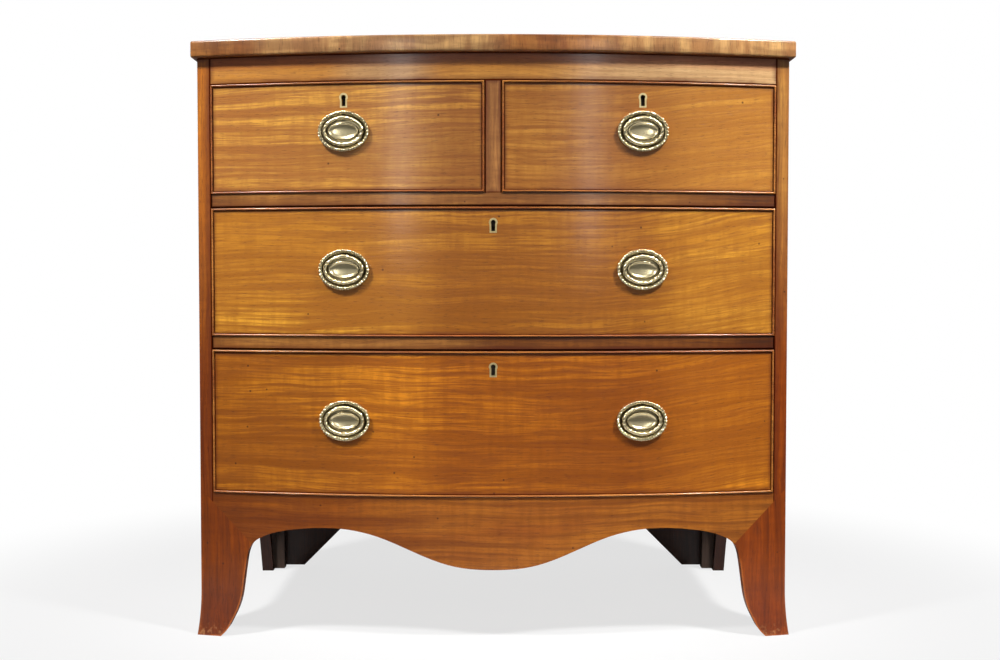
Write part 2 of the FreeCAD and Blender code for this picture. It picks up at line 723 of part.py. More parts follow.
# Top: overhangs at the front and the sides, flush at the back, its edges eased by a bevel.
top_half = "(half_width + top_side_overhang)"
top_bow = "(bow_radius + top_front_overhang)"
top = new_body("top")
plan = outline(top, "top_plan", "XY_Plane",
               [(f"-{top_half}", on_bow(top_bow, top_half)),
                (top_half, on_bow(top_bow, top_half)),
                (top_half, "back_y - bow_centre_y"), (f"-{top_half}", "back_y - bow_centre_y")],
               {0: (top_bow, 1)})
slab = pad(top, plan, "top_thickness")
place(top, "0", "bow_centre_y", "top_underside")
back_line = number("back_y - bow_centre_y")
ease_edges(top, slab, "top_edge_ease",
            lambda edge: abs(edge.Vertexes[0].Z - edge.Vertexes[1].Z) < 0.1
            and not all(abs(v.Y - back_line) < 0.1 for v in edge.Vertexes))
node("top", top)

# Backboards, side by side in the sides' rebates.
boards = []
count = int(round(number("backboard_count")))
back_half = "(opening_half + rebate_width)"
for index in range(count):
    low = f"-{back_half} + 2 * {back_half} * {index} / backboard_count"
    high = f"-{back_half} + 2 * {back_half} * {index + 1} / backboard_count"
    gap = "backboard_gap" if index < count - 1 else "0"
    boards.append(box("backboard", (low, f"{high} - {gap}"), ("board_back_y", "back_y"),
                      ("base_underside", "top_underside")))
node("backboards", group("backboards", *boards))

# Glue blocks: upright in the corners of the feet, and lying behind the apron and frieze.
block_depth = "bow_centre_y - sqrt((bow_radius - apron_thickness)^2 - "
front_block_y = f"{block_depth}(opening_half - block_width)^2)"
blocks = [
    cut("front_foot_block",
        box("front_foot_block_blank", ("opening_half - block_width", "opening_half"),
            (front_block_y, f"{front_block_y} + block_width + side_thickness / 2"),
            ("block_lift", "base_underside")),
        bowed("front_block_back", ("opening_half - 2 * block_width", "half_width"),
              "bow_radius - apron_thickness", "bow_radius", ("0", "foot_top"))),
    common("rear_foot_block",
           box("rear_foot_block_blank",
               ("half_width - rear_foot_inset - apron_thickness - rear_block_width",
                "opening_half"),
               ("back_y - apron_thickness - rear_block_width", "back_y - apron_thickness"),
               ("rear_bracket_lift / 2", "base_underside")),
           upright("rear_block_slope", "XZ_Plane",
                   [("half_width - foot_top", "0"),
                    ("half_width - rear_foot_inset - apron_thickness", "0"),
                    ("half_width - apron_thickness", "foot_top"),
                    ("half_width - foot_top", "foot_top")],
                   "foot_top", "back_y"))]
for distance in ("half_width / 4", "half_width * 0.6"):
    apron_block = document.addObject("Part::Box", "apron_block")
    bind(apron_block, Length="apron_block_length", Width="block_width",
         Height="block_width")
    turn = f"rotation(vector(0; 0; 1); asin({distance} / (bow_radius - apron_thickness)))"
    apron_block.setExpression("Placement", bound(
        f"placement(vector(0; bow_centre_y; base_underside - block_width); {turn})"
        " * placement(vector(-apron_block_length / 2; apron_thickness + 0.3 - bow_radius; 0);"
        " rotation(vector(0; 0; 1); 0))"))
    blocks.append(apron_block)
for middle in ("(rail_back_y + back_y) / 2 - 2 * top_block_length",
               "(rail_back_y + back_y) / 2 + top_block_length"):
    blocks.append(box("top_block", ("opening_half - block_width", "opening_half"),
                      (middle, f"{middle} + top_block_length"),
                      ("top_underside - block_width", "top_underside")))
blocks += [mirrored("block_left", block) for block in blocks]
node("glue_blocks", group("glue_blocks", *blocks))

# ---------------------------------------------------------------------------------------
# Handles: a pressed oval backplate, a ring that hangs from an eye, a stem and a nut. They
# are drawn lying on the plane y = 0, with the front towards -Y, then set on the bow.
# ---------------------------------------------------------------------------------------


def oval_track(offset, height):
    """Corners of the four-centred oval at an offset from the ring's centre line. Its arcs are
    divided into equal chords, one to a cast leaf. Sizes are read from the sheets."""
    end_x = number("ring_half_width - ring_end_radius")
    flat_z = number("ring_flat_radius - ring_half_height")
    turn = math.degrees(math.atan(flat_z / end_x))
    end = number("ring_end_radius") + offset
    flat_arc = number("ring_flat_radius") + offset
    end_chords = int(number("end_leaves"))
    flat_chords = int(number("flat_leaves"))
    corners = []
    for centre, radius, start, sweep, chords in (
            ((end_x, 0), end, -turn, 2 * turn, end_chords),
            ((0, -flat_z), flat_arc, turn, 180 - 2 * turn, flat_chords),
            ((-end_x, 0), end, 180 - turn, 2 * turn, end_chords),
            ((0, flat_z), flat_arc, 180 + turn, 180 - 2 * turn, flat_chords)):
        for index in range(chords):
            angle = math.radians(start + sweep * index / chords)
            corners.append(Vector(centre[0] + radius * math.cos(angle), -height,
                                  centre[1] + radius * math.sin(angle)))
    return corners


def flat_face(corners):
    return Part.Face(Part.makePolygon(corners + corners[:1]))


def moulded_oval(name, profile, closed=False):
    """A moulding that runs round the oval. Its profile is a list of offsets from the ring's
    centre line and heights before the plate's back. An open profile is capped at both ends."""
    tracks = [oval_track(offset, height) for offset, height in profile]
    faces = [] if closed else [flat_face(tracks[0]), flat_face(tracks[-1])]
    if closed:
        tracks.append(tracks[0])
    for low, high in zip(tracks, tracks[1:]):
        for index, corner in enumerate(low):
            after = (index + 1) % len(low)
            faces.append(flat_face([corner, low[after], high[after], high[index]]))
    solid = Part.Solid(Part.Shell(faces))
    if solid.Volume < 0:
        solid.reverse()
    piece = document.addObject("Part::Feature", name)
    piece.Shape = solid
    return piece


def backplate():
    """A pressed plate: beaded rim, channel for the ring, and a raised boss with a dish."""
    edge = number("plate_margin")
    channel = edge - number("rim_width")
    field = number("plate_thickness")
    rim = number("rim_height")
    ease = number("rim_ease")
    boss_edge = -number("boss_margin")
    boss = number("boss_height")
    dish_edge = -number("dish_margin")
    boss_ease = number("boss_ease")
    plate = moulded_oval("pressed_plate", [
        (edge, 0), (edge, rim - ease), (edge - ease, rim), (channel + ease, rim),
        (channel, field), (boss_edge, field), (boss_edge - boss_ease, boss), (dish_edge, boss),
        (dish_edge - boss_ease, boss - number("dish_depth"))])
    hole = rod("plate_hole", "stem_radius", "4 * plate_thickness", "y",
               ("0", "-2 * plate_thickness", "ring_half_height"))
    return cut("handle_plate", plate, hole)


def ring_bail():
    """The hanging ring, open at its top, where a thinner pin turns in the eye."""
    sides = int(number("ring_sides"))
    section = number("ring_section") / math.cos(math.pi / sides)
    middle = number("ring_y")
    around = [math.pi * (2 * index + 1) / sides for index in range(sides)]
    bar = moulded_oval("ring_bar", [(section * math.cos(angle), middle + section * math.sin(angle))
                                    for angle in around], closed=True)
    gap = "(eye_length / 2 + eye_clearance)"
    opened = cut("ring_opened", bar,
                 box("ring_gap", (f"-{gap}", gap), ("-2 * ring_y", "0"),
                     ("ring_half_height / 2", "ring_half_height * 1.5")))
    pin = rod("ring_pivot", "ring_pin", f"2 * {gap} + 2 * ring_pin", "x",
              (f"-{gap} - ring_pin", "-ring_y", "ring_half_height"))
    return fuse("handle_ring", opened, pin)


def eye_and_stem():
    """A post whose head is an eight-sided barrel, bored for the ring's pin."""
    barrel = document.addObject("Part::Prism", "eye_barrel")
    barrel.Polygon = 8
    bind(barrel, Circumradius="eye_radius", Height="eye_length")
    rule = ("placement(vector(-eye_length / 2; -ring_y; ring_half_height);"
            " rotation(vector(0; 1; 0); 90)) * placement(vector(0; 0; 0);"
            " rotation(vector(0; 0; 1); 22.5))")
    barrel.setExpression("Placement", bound(rule))
    stem = rod("stem", "stem_radius", "ring_y + front_thickness + nut_thickness + 2", "y",
               ("0", "-ring_y", "ring_half_height"))
    bore = rod("eye_bore", "ring_pin + eye_clearance", "2 * eye_length", "x",
               ("-eye_length", "-ring_y", "ring_half_height"))
    return cut("handle_eye", fuse("eye_solid", barrel, stem), bore)


def stem_nut():
    blank = document.addObject("Part::Prism", "nut_blank")
    blank.Polygon = 4
    bind(blank, Circumradius="nut_radius", Height="nut_thickness")
    rule = ("placement(vector(0; front_thickness + nut_seat; ring_half_height);"
            " rotation(vector(1; 0; 0); -90))")
    blank.setExpression("Placement", bound(rule))
    hole = rod("nut_hole", "stem_radius", "3 * nut_thickness", "y",
               ("0", "front_thickness - nut_thickness", "ring_half_height"))
    return cut("handle_nut", blank, hole)


handle_set = group("handle_fittings", backplate(), eye_and_stem(), stem_nut())
handle_ring = ring_bail()
handle_drill = group("handle_drills", rod(
    "handle_drill", "stem_radius + stem_clearance", "3 * front_thickness", "y",
    ("0", "-front_thickness", "ring_half_height")))


def linked(name, source, distance, z):
    """The same piece again, set on the bow. The source itself lies unmoved."""
    copy = document.addObject("App::Link", name)
    copy.LinkedObject = source
    return place_on_bow(copy, distance, z)


# ---------------------------------------------------------------------------------------
# Drawers
# ---------------------------------------------------------------------------------------


def dovetails(name, x, narrow_y, wide_y, z):
    """The tails of one drawer side at one end: they flare from narrow_y to wide_y."""
    low = number(z[0])
    high = number(z[1])
    count = max(2, int((high - low) / number("tail_pitch")))
    flare = f"tail_slope * abs(({narrow_y}) - ({wide_y}))"
    tails = []
    for index in range(count):
        middle = f"({z[0]}) + (({z[1]}) - ({z[0]})) * {2 * index + 1} / {2 * count}"
        neck = f"({middle}) + tail_neck / 2"
        neck_low = f"({middle}) - tail_neck / 2"
        corners = [(narrow_y, neck_low), (wide_y, f"{neck_low} - {flare}"),
                   (wide_y, f"{neck} + {flare}"), (narrow_y, neck)]
        tails.append(upright(f"{name}_{index + 1}", "YZ_Plane", corners,
                             f"({x[1]}) - ({x[0]})", x[0]))
    return group(name, *tails)


def cock_bead_strips(name, x, z):
    """Four mitred strips round a drawer front, with eased noses. The two long ones follow the
    bow, so they are turned about its axis. Sizes are read from the sheets."""
    left, right, low, high = (number(value) for value in (*x, *z))
    seat = number("bow_radius - bead_seat")
    nose = number("bow_radius + bead_proud")
    ease = number("bead_ease")
    wide = number("bead_thickness")
    margin = 2 * wide
    widest = math.degrees(math.asin((max(abs(left), abs(right)) + margin) / seat))
    near = -nose - margin
    far = margin - math.sqrt(seat ** 2 - max(abs(left), abs(right)) ** 2)

    def long_strip(bottom):
        track = [Vector(0, -seat, bottom), Vector(0, ease - nose, bottom),
                 Vector(0, -nose, bottom + ease), Vector(0, -nose, bottom + wide - ease),
                 Vector(0, ease - nose, bottom + wide), Vector(0, -seat, bottom + wide)]
        start = Part.Face(Part.makePolygon(track + track[:1]))
        start.rotate(Vector(0, 0, 0), Vector(0, 0, 1), -widest)
        return start.revolve(Vector(0, 0, 0), Vector(0, 0, 1), 2 * widest)

    def upright_strip(start):
        track = [Vector(across, -math.sqrt(radius ** 2 - across ** 2), low)
                 for across, radius in ((start, seat), (start, nose - ease), (start + ease, nose),
                                        (start + wide - ease, nose),
                                        (start + wide, nose - ease), (start + wide, seat))]
        return Part.Face(Part.makePolygon(track + track[:1])).extrude(Vector(0, 0, high - low))

    def mitred(strip, corners):
        track = [Vector(across, near, up) for across, up in corners]
        wedge = Part.Face(Part.makePolygon(track + track[:1])).extrude(Vector(0, far - near, 0))
        return strip.common(wedge).Solids[0]

    outer = ((left, low), (left, high), (right, high), (right, low))
    inner = ((left + margin, low + margin), (left + margin, high - margin),
             (right - margin, high - margin), (right - margin, low + margin))
    strips = []
    for index, strip in enumerate((upright_strip(left), long_strip(high - wide),
                                   upright_strip(right - wide), long_strip(low))):
        after = (index + 1) % 4
        strips.append(mitred(strip, (outer[index], outer[after], inner[after], inner[index])))
    piece = document.addObject("Part::Feature", name)
    piece.Shape = Part.Compound(strips)
    return place(piece, "0", "bow_centre_y", "0")


def keyhole_shape(name, x, z, head, width, tail, y):
    """A round head over a straight slot, cut along Y."""
    return fuse(name,
                rod(name + "_head", head, f"({y[1]}) - ({y[0]})", "y", (x, y[0], z)),
                box(name + "_slot", (f"({x}) - ({width}) / 2", f"({x}) + ({width}) / 2"), y,
                    (f"({z}) - ({tail})", z)))


def build_drawer(name, x, floor, ceiling, lock_x, handles, handle_z):
    """All the pieces of one drawer. x holds the limits of its front."""
    front_z = (f"{floor} + drawer_gap", f"{ceiling} - drawer_gap")
    side_z = (f"{floor} + drawer_run_gap", f"{ceiling} - drawer_gap - bead_thickness")
    bottom_z = (f"{floor} + drawer_run_gap + drawer_bottom_raise",
                f"{floor} + drawer_run_gap + drawer_bottom_raise + drawer_bottom_thickness")
    lefts = (x[0], f"{x[0]} + drawer_side_thickness")
    rights = (f"{x[1]} - drawer_side_thickness", x[1])

    # bottom: in grooves in the front and sides, under the back
    bottom = bow_fronted(
        name + "_bottom", (f"{lefts[1]} - drawer_groove", f"{rights[0]} + drawer_groove"),
        "inner_bow + drawer_groove", "drawer_back_y", bottom_z)
    node(name + "_bottom", bottom)

    # dovetails: lapped at the front, through at the back
    tails = []
    for hand, edge, across in (("left", x[0], lefts), ("right", x[1], rights)):
        face = f"bow_centre_y {on_bow('bow_radius', edge)}"
        shoulder = f"bow_centre_y {on_bow('inner_bow', edge)} + 1"
        tip = f"{face} + tail_lap"
        lap = dovetails(f"{name}_{hand}_lap_tails", across, shoulder, tip, front_z)
        through = dovetails(f"{name}_{hand}_through_tails", across,
                            "drawer_back_y - drawer_back_thickness", "drawer_back_y",
                            (bottom_z[1], f"{side_z[1]} - drawer_back_drop"))
        blank = box(f"{name}_{hand}_side_blank", across, (tip, "drawer_back_y"), side_z)
        tails.append((lap, through, blank))

    # front: bowed, with its sockets, groove, seats for beads, lock, key and handles
    inner_y = f"(bow_centre_y {on_bow('inner_bow', lock_x)})"
    lock_y = (f"{inner_y} - lock_depth", f"{inner_y}")
    key_z = f"({ceiling} - keyhole_drop)"
    top_z = front_z[1]
    front = bowed(name + "_front_board", x, "inner_bow", "bow_radius", front_z)
    seat = cut(name + "_bead_seat",
               bowed(name + "_bead_band", x, "bow_radius - bead_seat", "bow_radius + bead_proud",
                     front_z),
               box(name + "_bead_inside",
                   (f"{x[0]} + bead_thickness", f"{x[1]} - bead_thickness"),
                   ("corner_y - bow_rise - 2 * bead_seat", "corner_y + 2 * bead_seat"),
                   (f"{front_z[0]} + bead_thickness", f"{front_z[1]} - bead_thickness")))
    front = cut(name + "_front_with_sockets", front, group(name + "_sockets", tails[0][0],
                                                           tails[1][0]))
    front = cut(name + "_front_grooved", front, bottom)
    front = cut(name + "_front_rebated", front, seat)
    lock_recess = fuse(
        name + "_lock_recess",
        box(name + "_lock_bed",
            (f"({lock_x}) - lock_width / 2", f"({lock_x}) + lock_width / 2"),
            (lock_y[0], f"{inner_y} + lock_depth"), (f"{top_z} - lock_height", top_z)),
        box(name + "_lock_top_bed",
            (f"({lock_x}) - lock_top_length / 2", f"({lock_x}) + lock_top_length / 2"),
            (lock_y[0], f"{inner_y} + lock_depth"), (f"{top_z} - lock_top_thickness", top_z)))
    front = cut(name + "_front_for_lock", front, lock_recess)
    key_y = ("corner_y - 2 * bow_rise", f"{lock_y[0]} + lock_wall")
    keyhole = keyhole_shape(name + "_keyhole", lock_x, key_z, "keyhole_head", "keyhole_slot",
                            "keyhole_tail", key_y)
    thread = common(
        name + "_thread_solid",
        keyhole_shape(name + "_thread", lock_x, key_z, "thread_head", "thread_tail_width",
                      "thread_tail", key_y),
        bowed(name + "_thread_band",
              (f"({lock_x}) - 2 * thread_head", f"({lock_x}) + 2 * thread_head"),
              "bow_radius - thread_depth", "bow_radius",
              (f"{key_z} - 2 * thread_tail", f"{key_z} + 2 * thread_head")))
    front = cut(name + "_front_with_thread_seat", front, thread)
    front = cut(name + "_front_with_keyhole", front, keyhole)
    drills = [linked(f"{name}_drill", handle_drill, distance, handle_z) for distance in handles]
    front = cut(name + "_front", front, group(name + "_drills", *drills))
    node(name + "_front", front)
    node(name + "_escutcheon", cut(name + "_escutcheon", thread, keyhole))
    node(name + "_cock_beads", cock_bead_strips(name + "_cock_beads", x, front_z))

    # back and sides
    back = box(name + "_back_board", x,
               ("drawer_back_y - drawer_back_thickness", "drawer_back_y"),
               (bottom_z[1], f"{side_z[1]} - drawer_back_drop"))
    back = cut(name + "_back", back, group(name + "_back_sockets", tails[0][1], tails[1][1]))
    node(name + "_back", back)
    sides = []
    for hand, (lap, through, blank) in zip(("left", "right"), tails):
        side_piece = cut(f"{name}_{hand}_side_fitted", blank, front)
        side_piece = cut(f"{name}_{hand}_side_grooved", side_piece, bottom)
        side_piece = cut(f"{name}_{hand}_side", side_piece, back)
        sides.append(side_piece)
    node(name + "_sides", group(name + "_sides", *sides))

    # lock: a box with its top plate, open inside for the bolt and the key
    hollow = ("lock_wall", "lock_top_thickness")
    case = fuse(
        name + "_lock_solid",
        box(name + "_lock_body",
            (f"({lock_x}) - lock_width / 2", f"({lock_x}) + lock_width / 2"), lock_y,
            (f"{top_z} - lock_height", top_z)),
        box(name + "_lock_top",
            (f"({lock_x}) - lock_top_length / 2", f"({lock_x}) + lock_top_length / 2"), lock_y,
            (f"{top_z} - lock_top_thickness", top_z)))
    room = box(name + "_lock_room",
               (f"({lock_x}) - lock_width / 2 + 4 * lock_wall",
                f"({lock_x}) + lock_width / 2 - 4 * lock_wall"),
               (f"{lock_y[0]} + lock_wall", f"{lock_y[1]} - lock_wall"),
               (f"{top_z} - lock_height + 2 * lock_wall", f"{top_z} - lock_top_thickness"))
    bolt_x = (f"({lock_x}) - bolt_width / 2", f"({lock_x}) + bolt_width / 2")
    bolt_y = (f"{lock_y[0]} + (lock_depth - bolt_thickness) / 2",
              f"{lock_y[0]} + (lock_depth + bolt_thickness) / 2")
    slot = box(name + "_bolt_slot",
               (f"{bolt_x[0]} - bolt_clearance", f"{bolt_x[1]} + bolt_clearance"),
               (f"{bolt_y[0]} - bolt_clearance", f"{bolt_y[1]} + bolt_clearance"),
               (f"{top_z} - 2 * lock_top_thickness", f"{top_z} + lock_top_thickness"))
    case = cut(name + "_lock_hollow", case, fuse(name + "_lock_space", room, slot))
    node(name + "_lock", cut(name + "_lock", case, keyhole))
    bolt_top = f"{top_z} - bolt_clearance"
    node(name + "_lock_bolt", box(name + "_lock_bolt", bolt_x, bolt_y,
                                  (f"{bolt_top} - bolt_length", bolt_top)))
    mortise = box(name + "_mortise",
                  (f"{bolt_x[0]} - mortise_clearance", f"{bolt_x[1]} + mortise_clearance"),
                  (f"{bolt_y[0]} - mortise_clearance", f"{bolt_y[1]} + mortise_clearance"),
                  (f"{ceiling} - mortise_clearance", f"{ceiling} + mortise_depth"))

    # handles
    fittings = [linked(f"{name}_fittings", handle_set, distance, handle_z)
                for distance in handles]
    node(name + "_handle_plates", group(name + "_handle_plates", *fittings))
    for index, distance in enumerate(handles):
        ring_name = name + "_ring"
        if len(handles) > 1:
            ring_name = f"{name}_ring_{('left', 'right')[index]}"
        node(ring_name, linked(ring_name, handle_ring, distance, handle_z))
    return mortise


long_x = ("-drawer_outer", "drawer_outer")
both = ("-handle_from_centre", "handle_from_centre")
left_mortise = build_drawer("short_left", ("-drawer_outer", "-short_inner"), "upper_floor",
                            "upper_ceiling", "-lock_from_centre", both[:1],
                            "upper_floor + upper_handle_height")
right_mortise = build_drawer("short_right", ("short_inner", "drawer_outer"), "upper_floor",
                             "upper_ceiling", "lock_from_centre", both[1:],
                             "upper_floor + upper_handle_height")
middle_mortise = build_drawer("long_upper", long_x, "middle_floor", "middle_ceiling", "0", both,
                              "middle_floor + middle_handle_height")
lower_mortise = build_drawer("long_lower", long_x, "base_height", "lower_ceiling", "0", both,
                             "base_height + lower_handle_height")

# Each rail has a mortise in its underside for the bolt of the lock below it.
node("frieze_rail", cut("frieze_rail", frieze_board,
                        group("frieze_mortises", left_mortise, right_mortise)))
node("rail_upper", cut("rail_upper", rail_upper, middle_mortise))
node("rail_lower", cut("rail_lower", rail_lower, lower_mortise))

# ---------------------------------------------------------------------------------------
# Checks, then one file for each sub-part
# ---------------------------------------------------------------------------------------

document.recompute()

for item in document.Objects:
    if "Invalid" in item.State or "Error" in item.State:
        raise RuntimeError(f"{item.Name} failed: {item.State}")

shapes = {}
for name, piece in NODES.items():
    shape = Part.getShape(piece)
    if shape.isNull() or not shape.isValid() or not shape.Solids:
        raise RuntimeError(f"{name} has no valid solid")
    shapes[name] = shape

os.makedirs("parts", exist_ok=True)
for name, shape in shapes.items():
    shape.exportStep(f"parts/{name}.step")
    print(f"{name:26s} solids {len(shape.Solids):3d}  volume {shape.Volume / 1000:9.2f} cm3")
print(len(shapes), "nodes")
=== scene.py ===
# %% [markdown]
# # A bow front chest of drawers
# The chest is a mahogany case on splayed feet, with two short drawers over two long ones. Its
# front is one shallow curve. The joinery comes ready made from the frame. This lesson gives
# it polished wood, rounded beads and cast brass handles, then lights it.

# %% Load the frame
import json
import math

import bmesh
import bpy
from mathutils import Matrix, Vector


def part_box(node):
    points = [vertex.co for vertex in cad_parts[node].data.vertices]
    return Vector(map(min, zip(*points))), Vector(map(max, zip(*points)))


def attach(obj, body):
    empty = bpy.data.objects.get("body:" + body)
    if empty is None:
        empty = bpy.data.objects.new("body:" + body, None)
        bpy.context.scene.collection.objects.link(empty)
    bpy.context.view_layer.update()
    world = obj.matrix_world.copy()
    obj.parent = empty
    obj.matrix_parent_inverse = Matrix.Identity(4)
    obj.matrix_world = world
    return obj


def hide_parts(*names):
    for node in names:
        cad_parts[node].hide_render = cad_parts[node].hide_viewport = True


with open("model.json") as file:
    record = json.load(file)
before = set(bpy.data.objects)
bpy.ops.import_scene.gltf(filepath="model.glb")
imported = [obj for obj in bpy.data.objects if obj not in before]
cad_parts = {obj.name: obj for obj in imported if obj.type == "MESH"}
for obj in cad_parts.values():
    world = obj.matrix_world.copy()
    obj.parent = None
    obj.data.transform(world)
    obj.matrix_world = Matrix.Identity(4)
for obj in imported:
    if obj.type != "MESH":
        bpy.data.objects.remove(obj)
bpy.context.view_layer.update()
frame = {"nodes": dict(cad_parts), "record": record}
nodes = frame["nodes"]

# %% [markdown]
# ## The curve that everything follows
# The joiner struck one arc for the whole front. Its radius follows from the width of the case
# and the rise of the bow, so two sizes give the curve. Pieces made here use the same arc.

# %% The bow
MM = 0.001
CASE_WIDTH = 898 * MM
BOW_RISE = 54 * MM
CORNER_Y = -207 * MM
BOW_RADIUS = ((CASE_WIDTH / 2) ** 2 + BOW_RISE ** 2) / (2 * BOW_RISE)
BOW_CENTRE_Y = CORNER_Y - BOW_RISE + BOW_RADIUS


def on_bow(x):
    """How far back the curve lies at a distance from the middle."""
    return BOW_CENTRE_Y - math.sqrt(BOW_RADIUS ** 2 - x ** 2)


print("bow radius in mm:", round(BOW_RADIUS / MM, 1))

# %% [markdown]
# ## Helpers for materials
# Colours are written as they look on a screen, and shaders need them in linear light, so one
# function turns them. Another adds a node and sets it. Its inputs are fed with values, with
# sockets or with whole nodes, whose first live output is then linked. Two nodes come back
# often: Map Range with SOFT_STEP turns a pattern into a mask that changes softly between two
# limits, and Mix lays the colour in input 7 over that in input 6, by the share in input 0.

# %% Colour and node helpers
SOFT_STEP = {"interpolation_type": "SMOOTHSTEP"}


def linear(hex_code):
    """An sRGB hex colour as linear light, with alpha 1."""
    parts = [int(hex_code[i:i + 2], 16) / 255 for i in (1, 3, 5)]
    return [p / 12.92 if p <= 0.04045 else ((p + 0.055) / 1.055) ** 2.4 for p in parts] + [1.0]


def feed(tree, node, inputs):
    """Sets a node's inputs. A socket or a node given for an input is linked to it."""
    for key, value in inputs.items():
        if isinstance(value, bpy.types.Node):
            value = next(socket for socket in value.outputs if socket.enabled)
        if isinstance(value, bpy.types.NodeSocket):
            tree.links.new(value, node.inputs[key])
        else:
            node.inputs[key].default_value = value


def add(tree, kind, inputs=(), **settings):
    """Adds a node with its settings. Its inputs are given by name, by number or in order."""
    node = tree.nodes.new("ShaderNode" + kind)
    for name, value in settings.items():
        setattr(node, name, value)
    feed(tree, node, inputs if isinstance(inputs, dict) else dict(enumerate(inputs)))
    return node


def new_material(name):
    """A material with a bare Principled shader. Returns the material, its tree and shader."""
    material = bpy.data.materials.new(name)
    material.use_nodes = True
    tree = material.node_tree
    tree.nodes.clear()
    shader = add(tree, "BsdfPrincipled")
    add(tree, "OutputMaterial", {"Surface": shader})
    return material, tree, shader


def object_axes(tree):
    """X, Y and Z of the piece in metres, as three sockets."""
    return add(tree, "SeparateXYZ", [add(tree, "TexCoord").outputs["Object"]]).outputs


def lay_over(tree, colour, *layers):
    """Lays tones over a colour. Each layer is a mask, its strength or a second mask, and a
    tone."""
    for layer_mask, strength, tone in layers:
        share = add(tree, "Math", (layer_mask, strength), operation="MULTIPLY")
        colour = add(tree, "Mix", {0: share, 6: colour, 7: linear(tone)}, data_type="RGBA")
    return colour


print("mid grey in linear light:", round(linear("#808080")[0], 3))

# %% [markdown]
# ## Where the grain runs
# Wood is not the same in all directions: its fibres are long. Every pattern below is drawn in
# a space whose first axis runs along the fibres. On the bowed front the third axis is the
# distance from the arc's centre, so that the veneer bends round the curve unstretched.

# %% Grain space
GRAIN_ORDER = {"upright": (2, 0, 1), "side to side": (0, 1, 2), "front to back": (1, 2, 0)}


def grain_space(tree, grain):
    """A space in metres, turned so that X runs along the grain."""
    axes = object_axes(tree)
    if grain == "round the bow":
        ahead = add(tree, "Math", (axes[1], -BOW_CENTRE_Y), operation="ADD")
        flat = add(tree, "CombineXYZ", (axes[0], ahead))
        depth = add(tree, "VectorMath", [flat], operation="LENGTH")
        return add(tree, "CombineXYZ", (axes[0], axes[2], depth))
    return add(tree, "CombineXYZ", [axes[axis] for axis in GRAIN_ORDER[grain]])


def fibres(tree, space, length, width, seed, detail=3.0, limits=None):
    """Noise whose patches are this long and this wide, in metres. With limits it is a mask,
    0 where the noise is below the first and 1 where it is above the second."""
    scaled = add(tree, "Mapping", {"Vector": space, "Location": (seed * 7.3, seed * 3.1, seed),
                                   "Scale": (1 / length, 1 / width, 1 / width)})
    noise = add(tree, "TexNoise", {"Vector": scaled, "Scale": 1.0, "Detail": detail,
                                   "Roughness": 0.55})
    return add(tree, "MapRange", (noise, *limits), **SOFT_STEP) if limits else noise


def bent_grain(tree, space, length, width, seed, sway, detail, climb=0.0):
    """The space shifted across the grain by soft noise, so that straight lines wander."""
    wander = fibres(tree, space, length, width, seed, detail)
    lean = add(tree, "Math", (wander, sway), operation="MULTIPLY")
    lean = add(tree, "Math", (lean, climb), operation="ADD")
    shift = add(tree, "CombineXYZ", {1: lean})
    return add(tree, "VectorMath", (space, shift), operation="ADD")


print("ways the grain runs: round the bow,", ", ".join(GRAIN_ORDER))

# %% [markdown]
# ## Tints and signs of age
# A board isn't one tone from end to end, so a tint multiplies its colour in soft bands. Some
# bands are painted shade or painted shine, and not a tone of the wood. They stay in place
# under other light, so leave those out where the lamps can do their work.
# The low edges of the feet are rubbed down to paler wood, most of all on their inner side. A
# Bevel node rounds the normal near an edge, and the wood is pale where that normal leaves the
# true one. Brooms and shoes have bruised the ends of the feet.

# %% Tints, worn edges and scuffs
ARRIS = 6 * MM
ARRIS_TONE = "#BA672C"
ROUNDED, FLAT = 0.80, 0.985
WEAR_TOP = 125 * MM
WEAR_INSIDE = 430 * MM
OUTER_WEAR = 0.3
SCUFF_START, SCUFF_HEIGHT = 2 * MM, 24 * MM
SCUFF_TONE = "#A67044"


def tinted(tree, colour, tint, axis, begins, full, fades, ends):
    """Multiplies by a tint in a soft band that lies across an axis."""
    along = object_axes(tree)[axis]
    rise = add(tree, "MapRange", (along, begins, full), **SOFT_STEP)
    fall = add(tree, "MapRange", (along, fades, ends, 1.0, 0.0), **SOFT_STEP)
    share = add(tree, "Math", (rise, fall), operation="MULTIPLY")
    return add(tree, "Mix", {0: share, 6: colour, 7: linear(tint)}, data_type="RGBA",
               blend_type="MULTIPLY")


def worn_arris(tree, colour, worn):
    """Lightens the low edges, and the outer ones less."""
    rounded = add(tree, "Bevel", {"Radius": ARRIS}, samples=6)
    true_normal = add(tree, "NewGeometry").outputs["True Normal"]
    likeness = add(tree, "VectorMath", (rounded, true_normal), operation="DOT_PRODUCT")
    edge = add(tree, "MapRange", (likeness, ROUNDED, FLAT, worn, 0.0), **SOFT_STEP)
    x, _, z = object_axes(tree)
    away = add(tree, "Math", [x], operation="ABSOLUTE")
    inner = add(tree, "MapRange", (away, WEAR_INSIDE, WEAR_INSIDE + ARRIS, 1.0, OUTER_WEAR),
                **SOFT_STEP)
    low = add(tree, "MapRange", (z, 0.9 * WEAR_TOP, WEAR_TOP, 1.0, 0.0), **SOFT_STEP)
    share = add(tree, "Math", (edge, low), operation="MULTIPLY")
    return lay_over(tree, colour, (share, inner, ARRIS_TONE))


def scuffed_end(tree, colour, space):
    """Pale bruises, thicker towards the floor."""
    low = add(tree, "MapRange", (object_axes(tree)[2], SCUFF_START, SCUFF_HEIGHT, 1.0, 0.0),
              **SOFT_STEP)
    bruises = fibres(tree, space, 6 * MM, 5 * MM, 51.0, 5.0, limits=(0.50, 0.66, 0.0, 0.7))
    return lay_over(tree, colour, (low, bruises, SCUFF_TONE))


print("worn edges reach up to, in mm:", round(WEAR_TOP / MM))
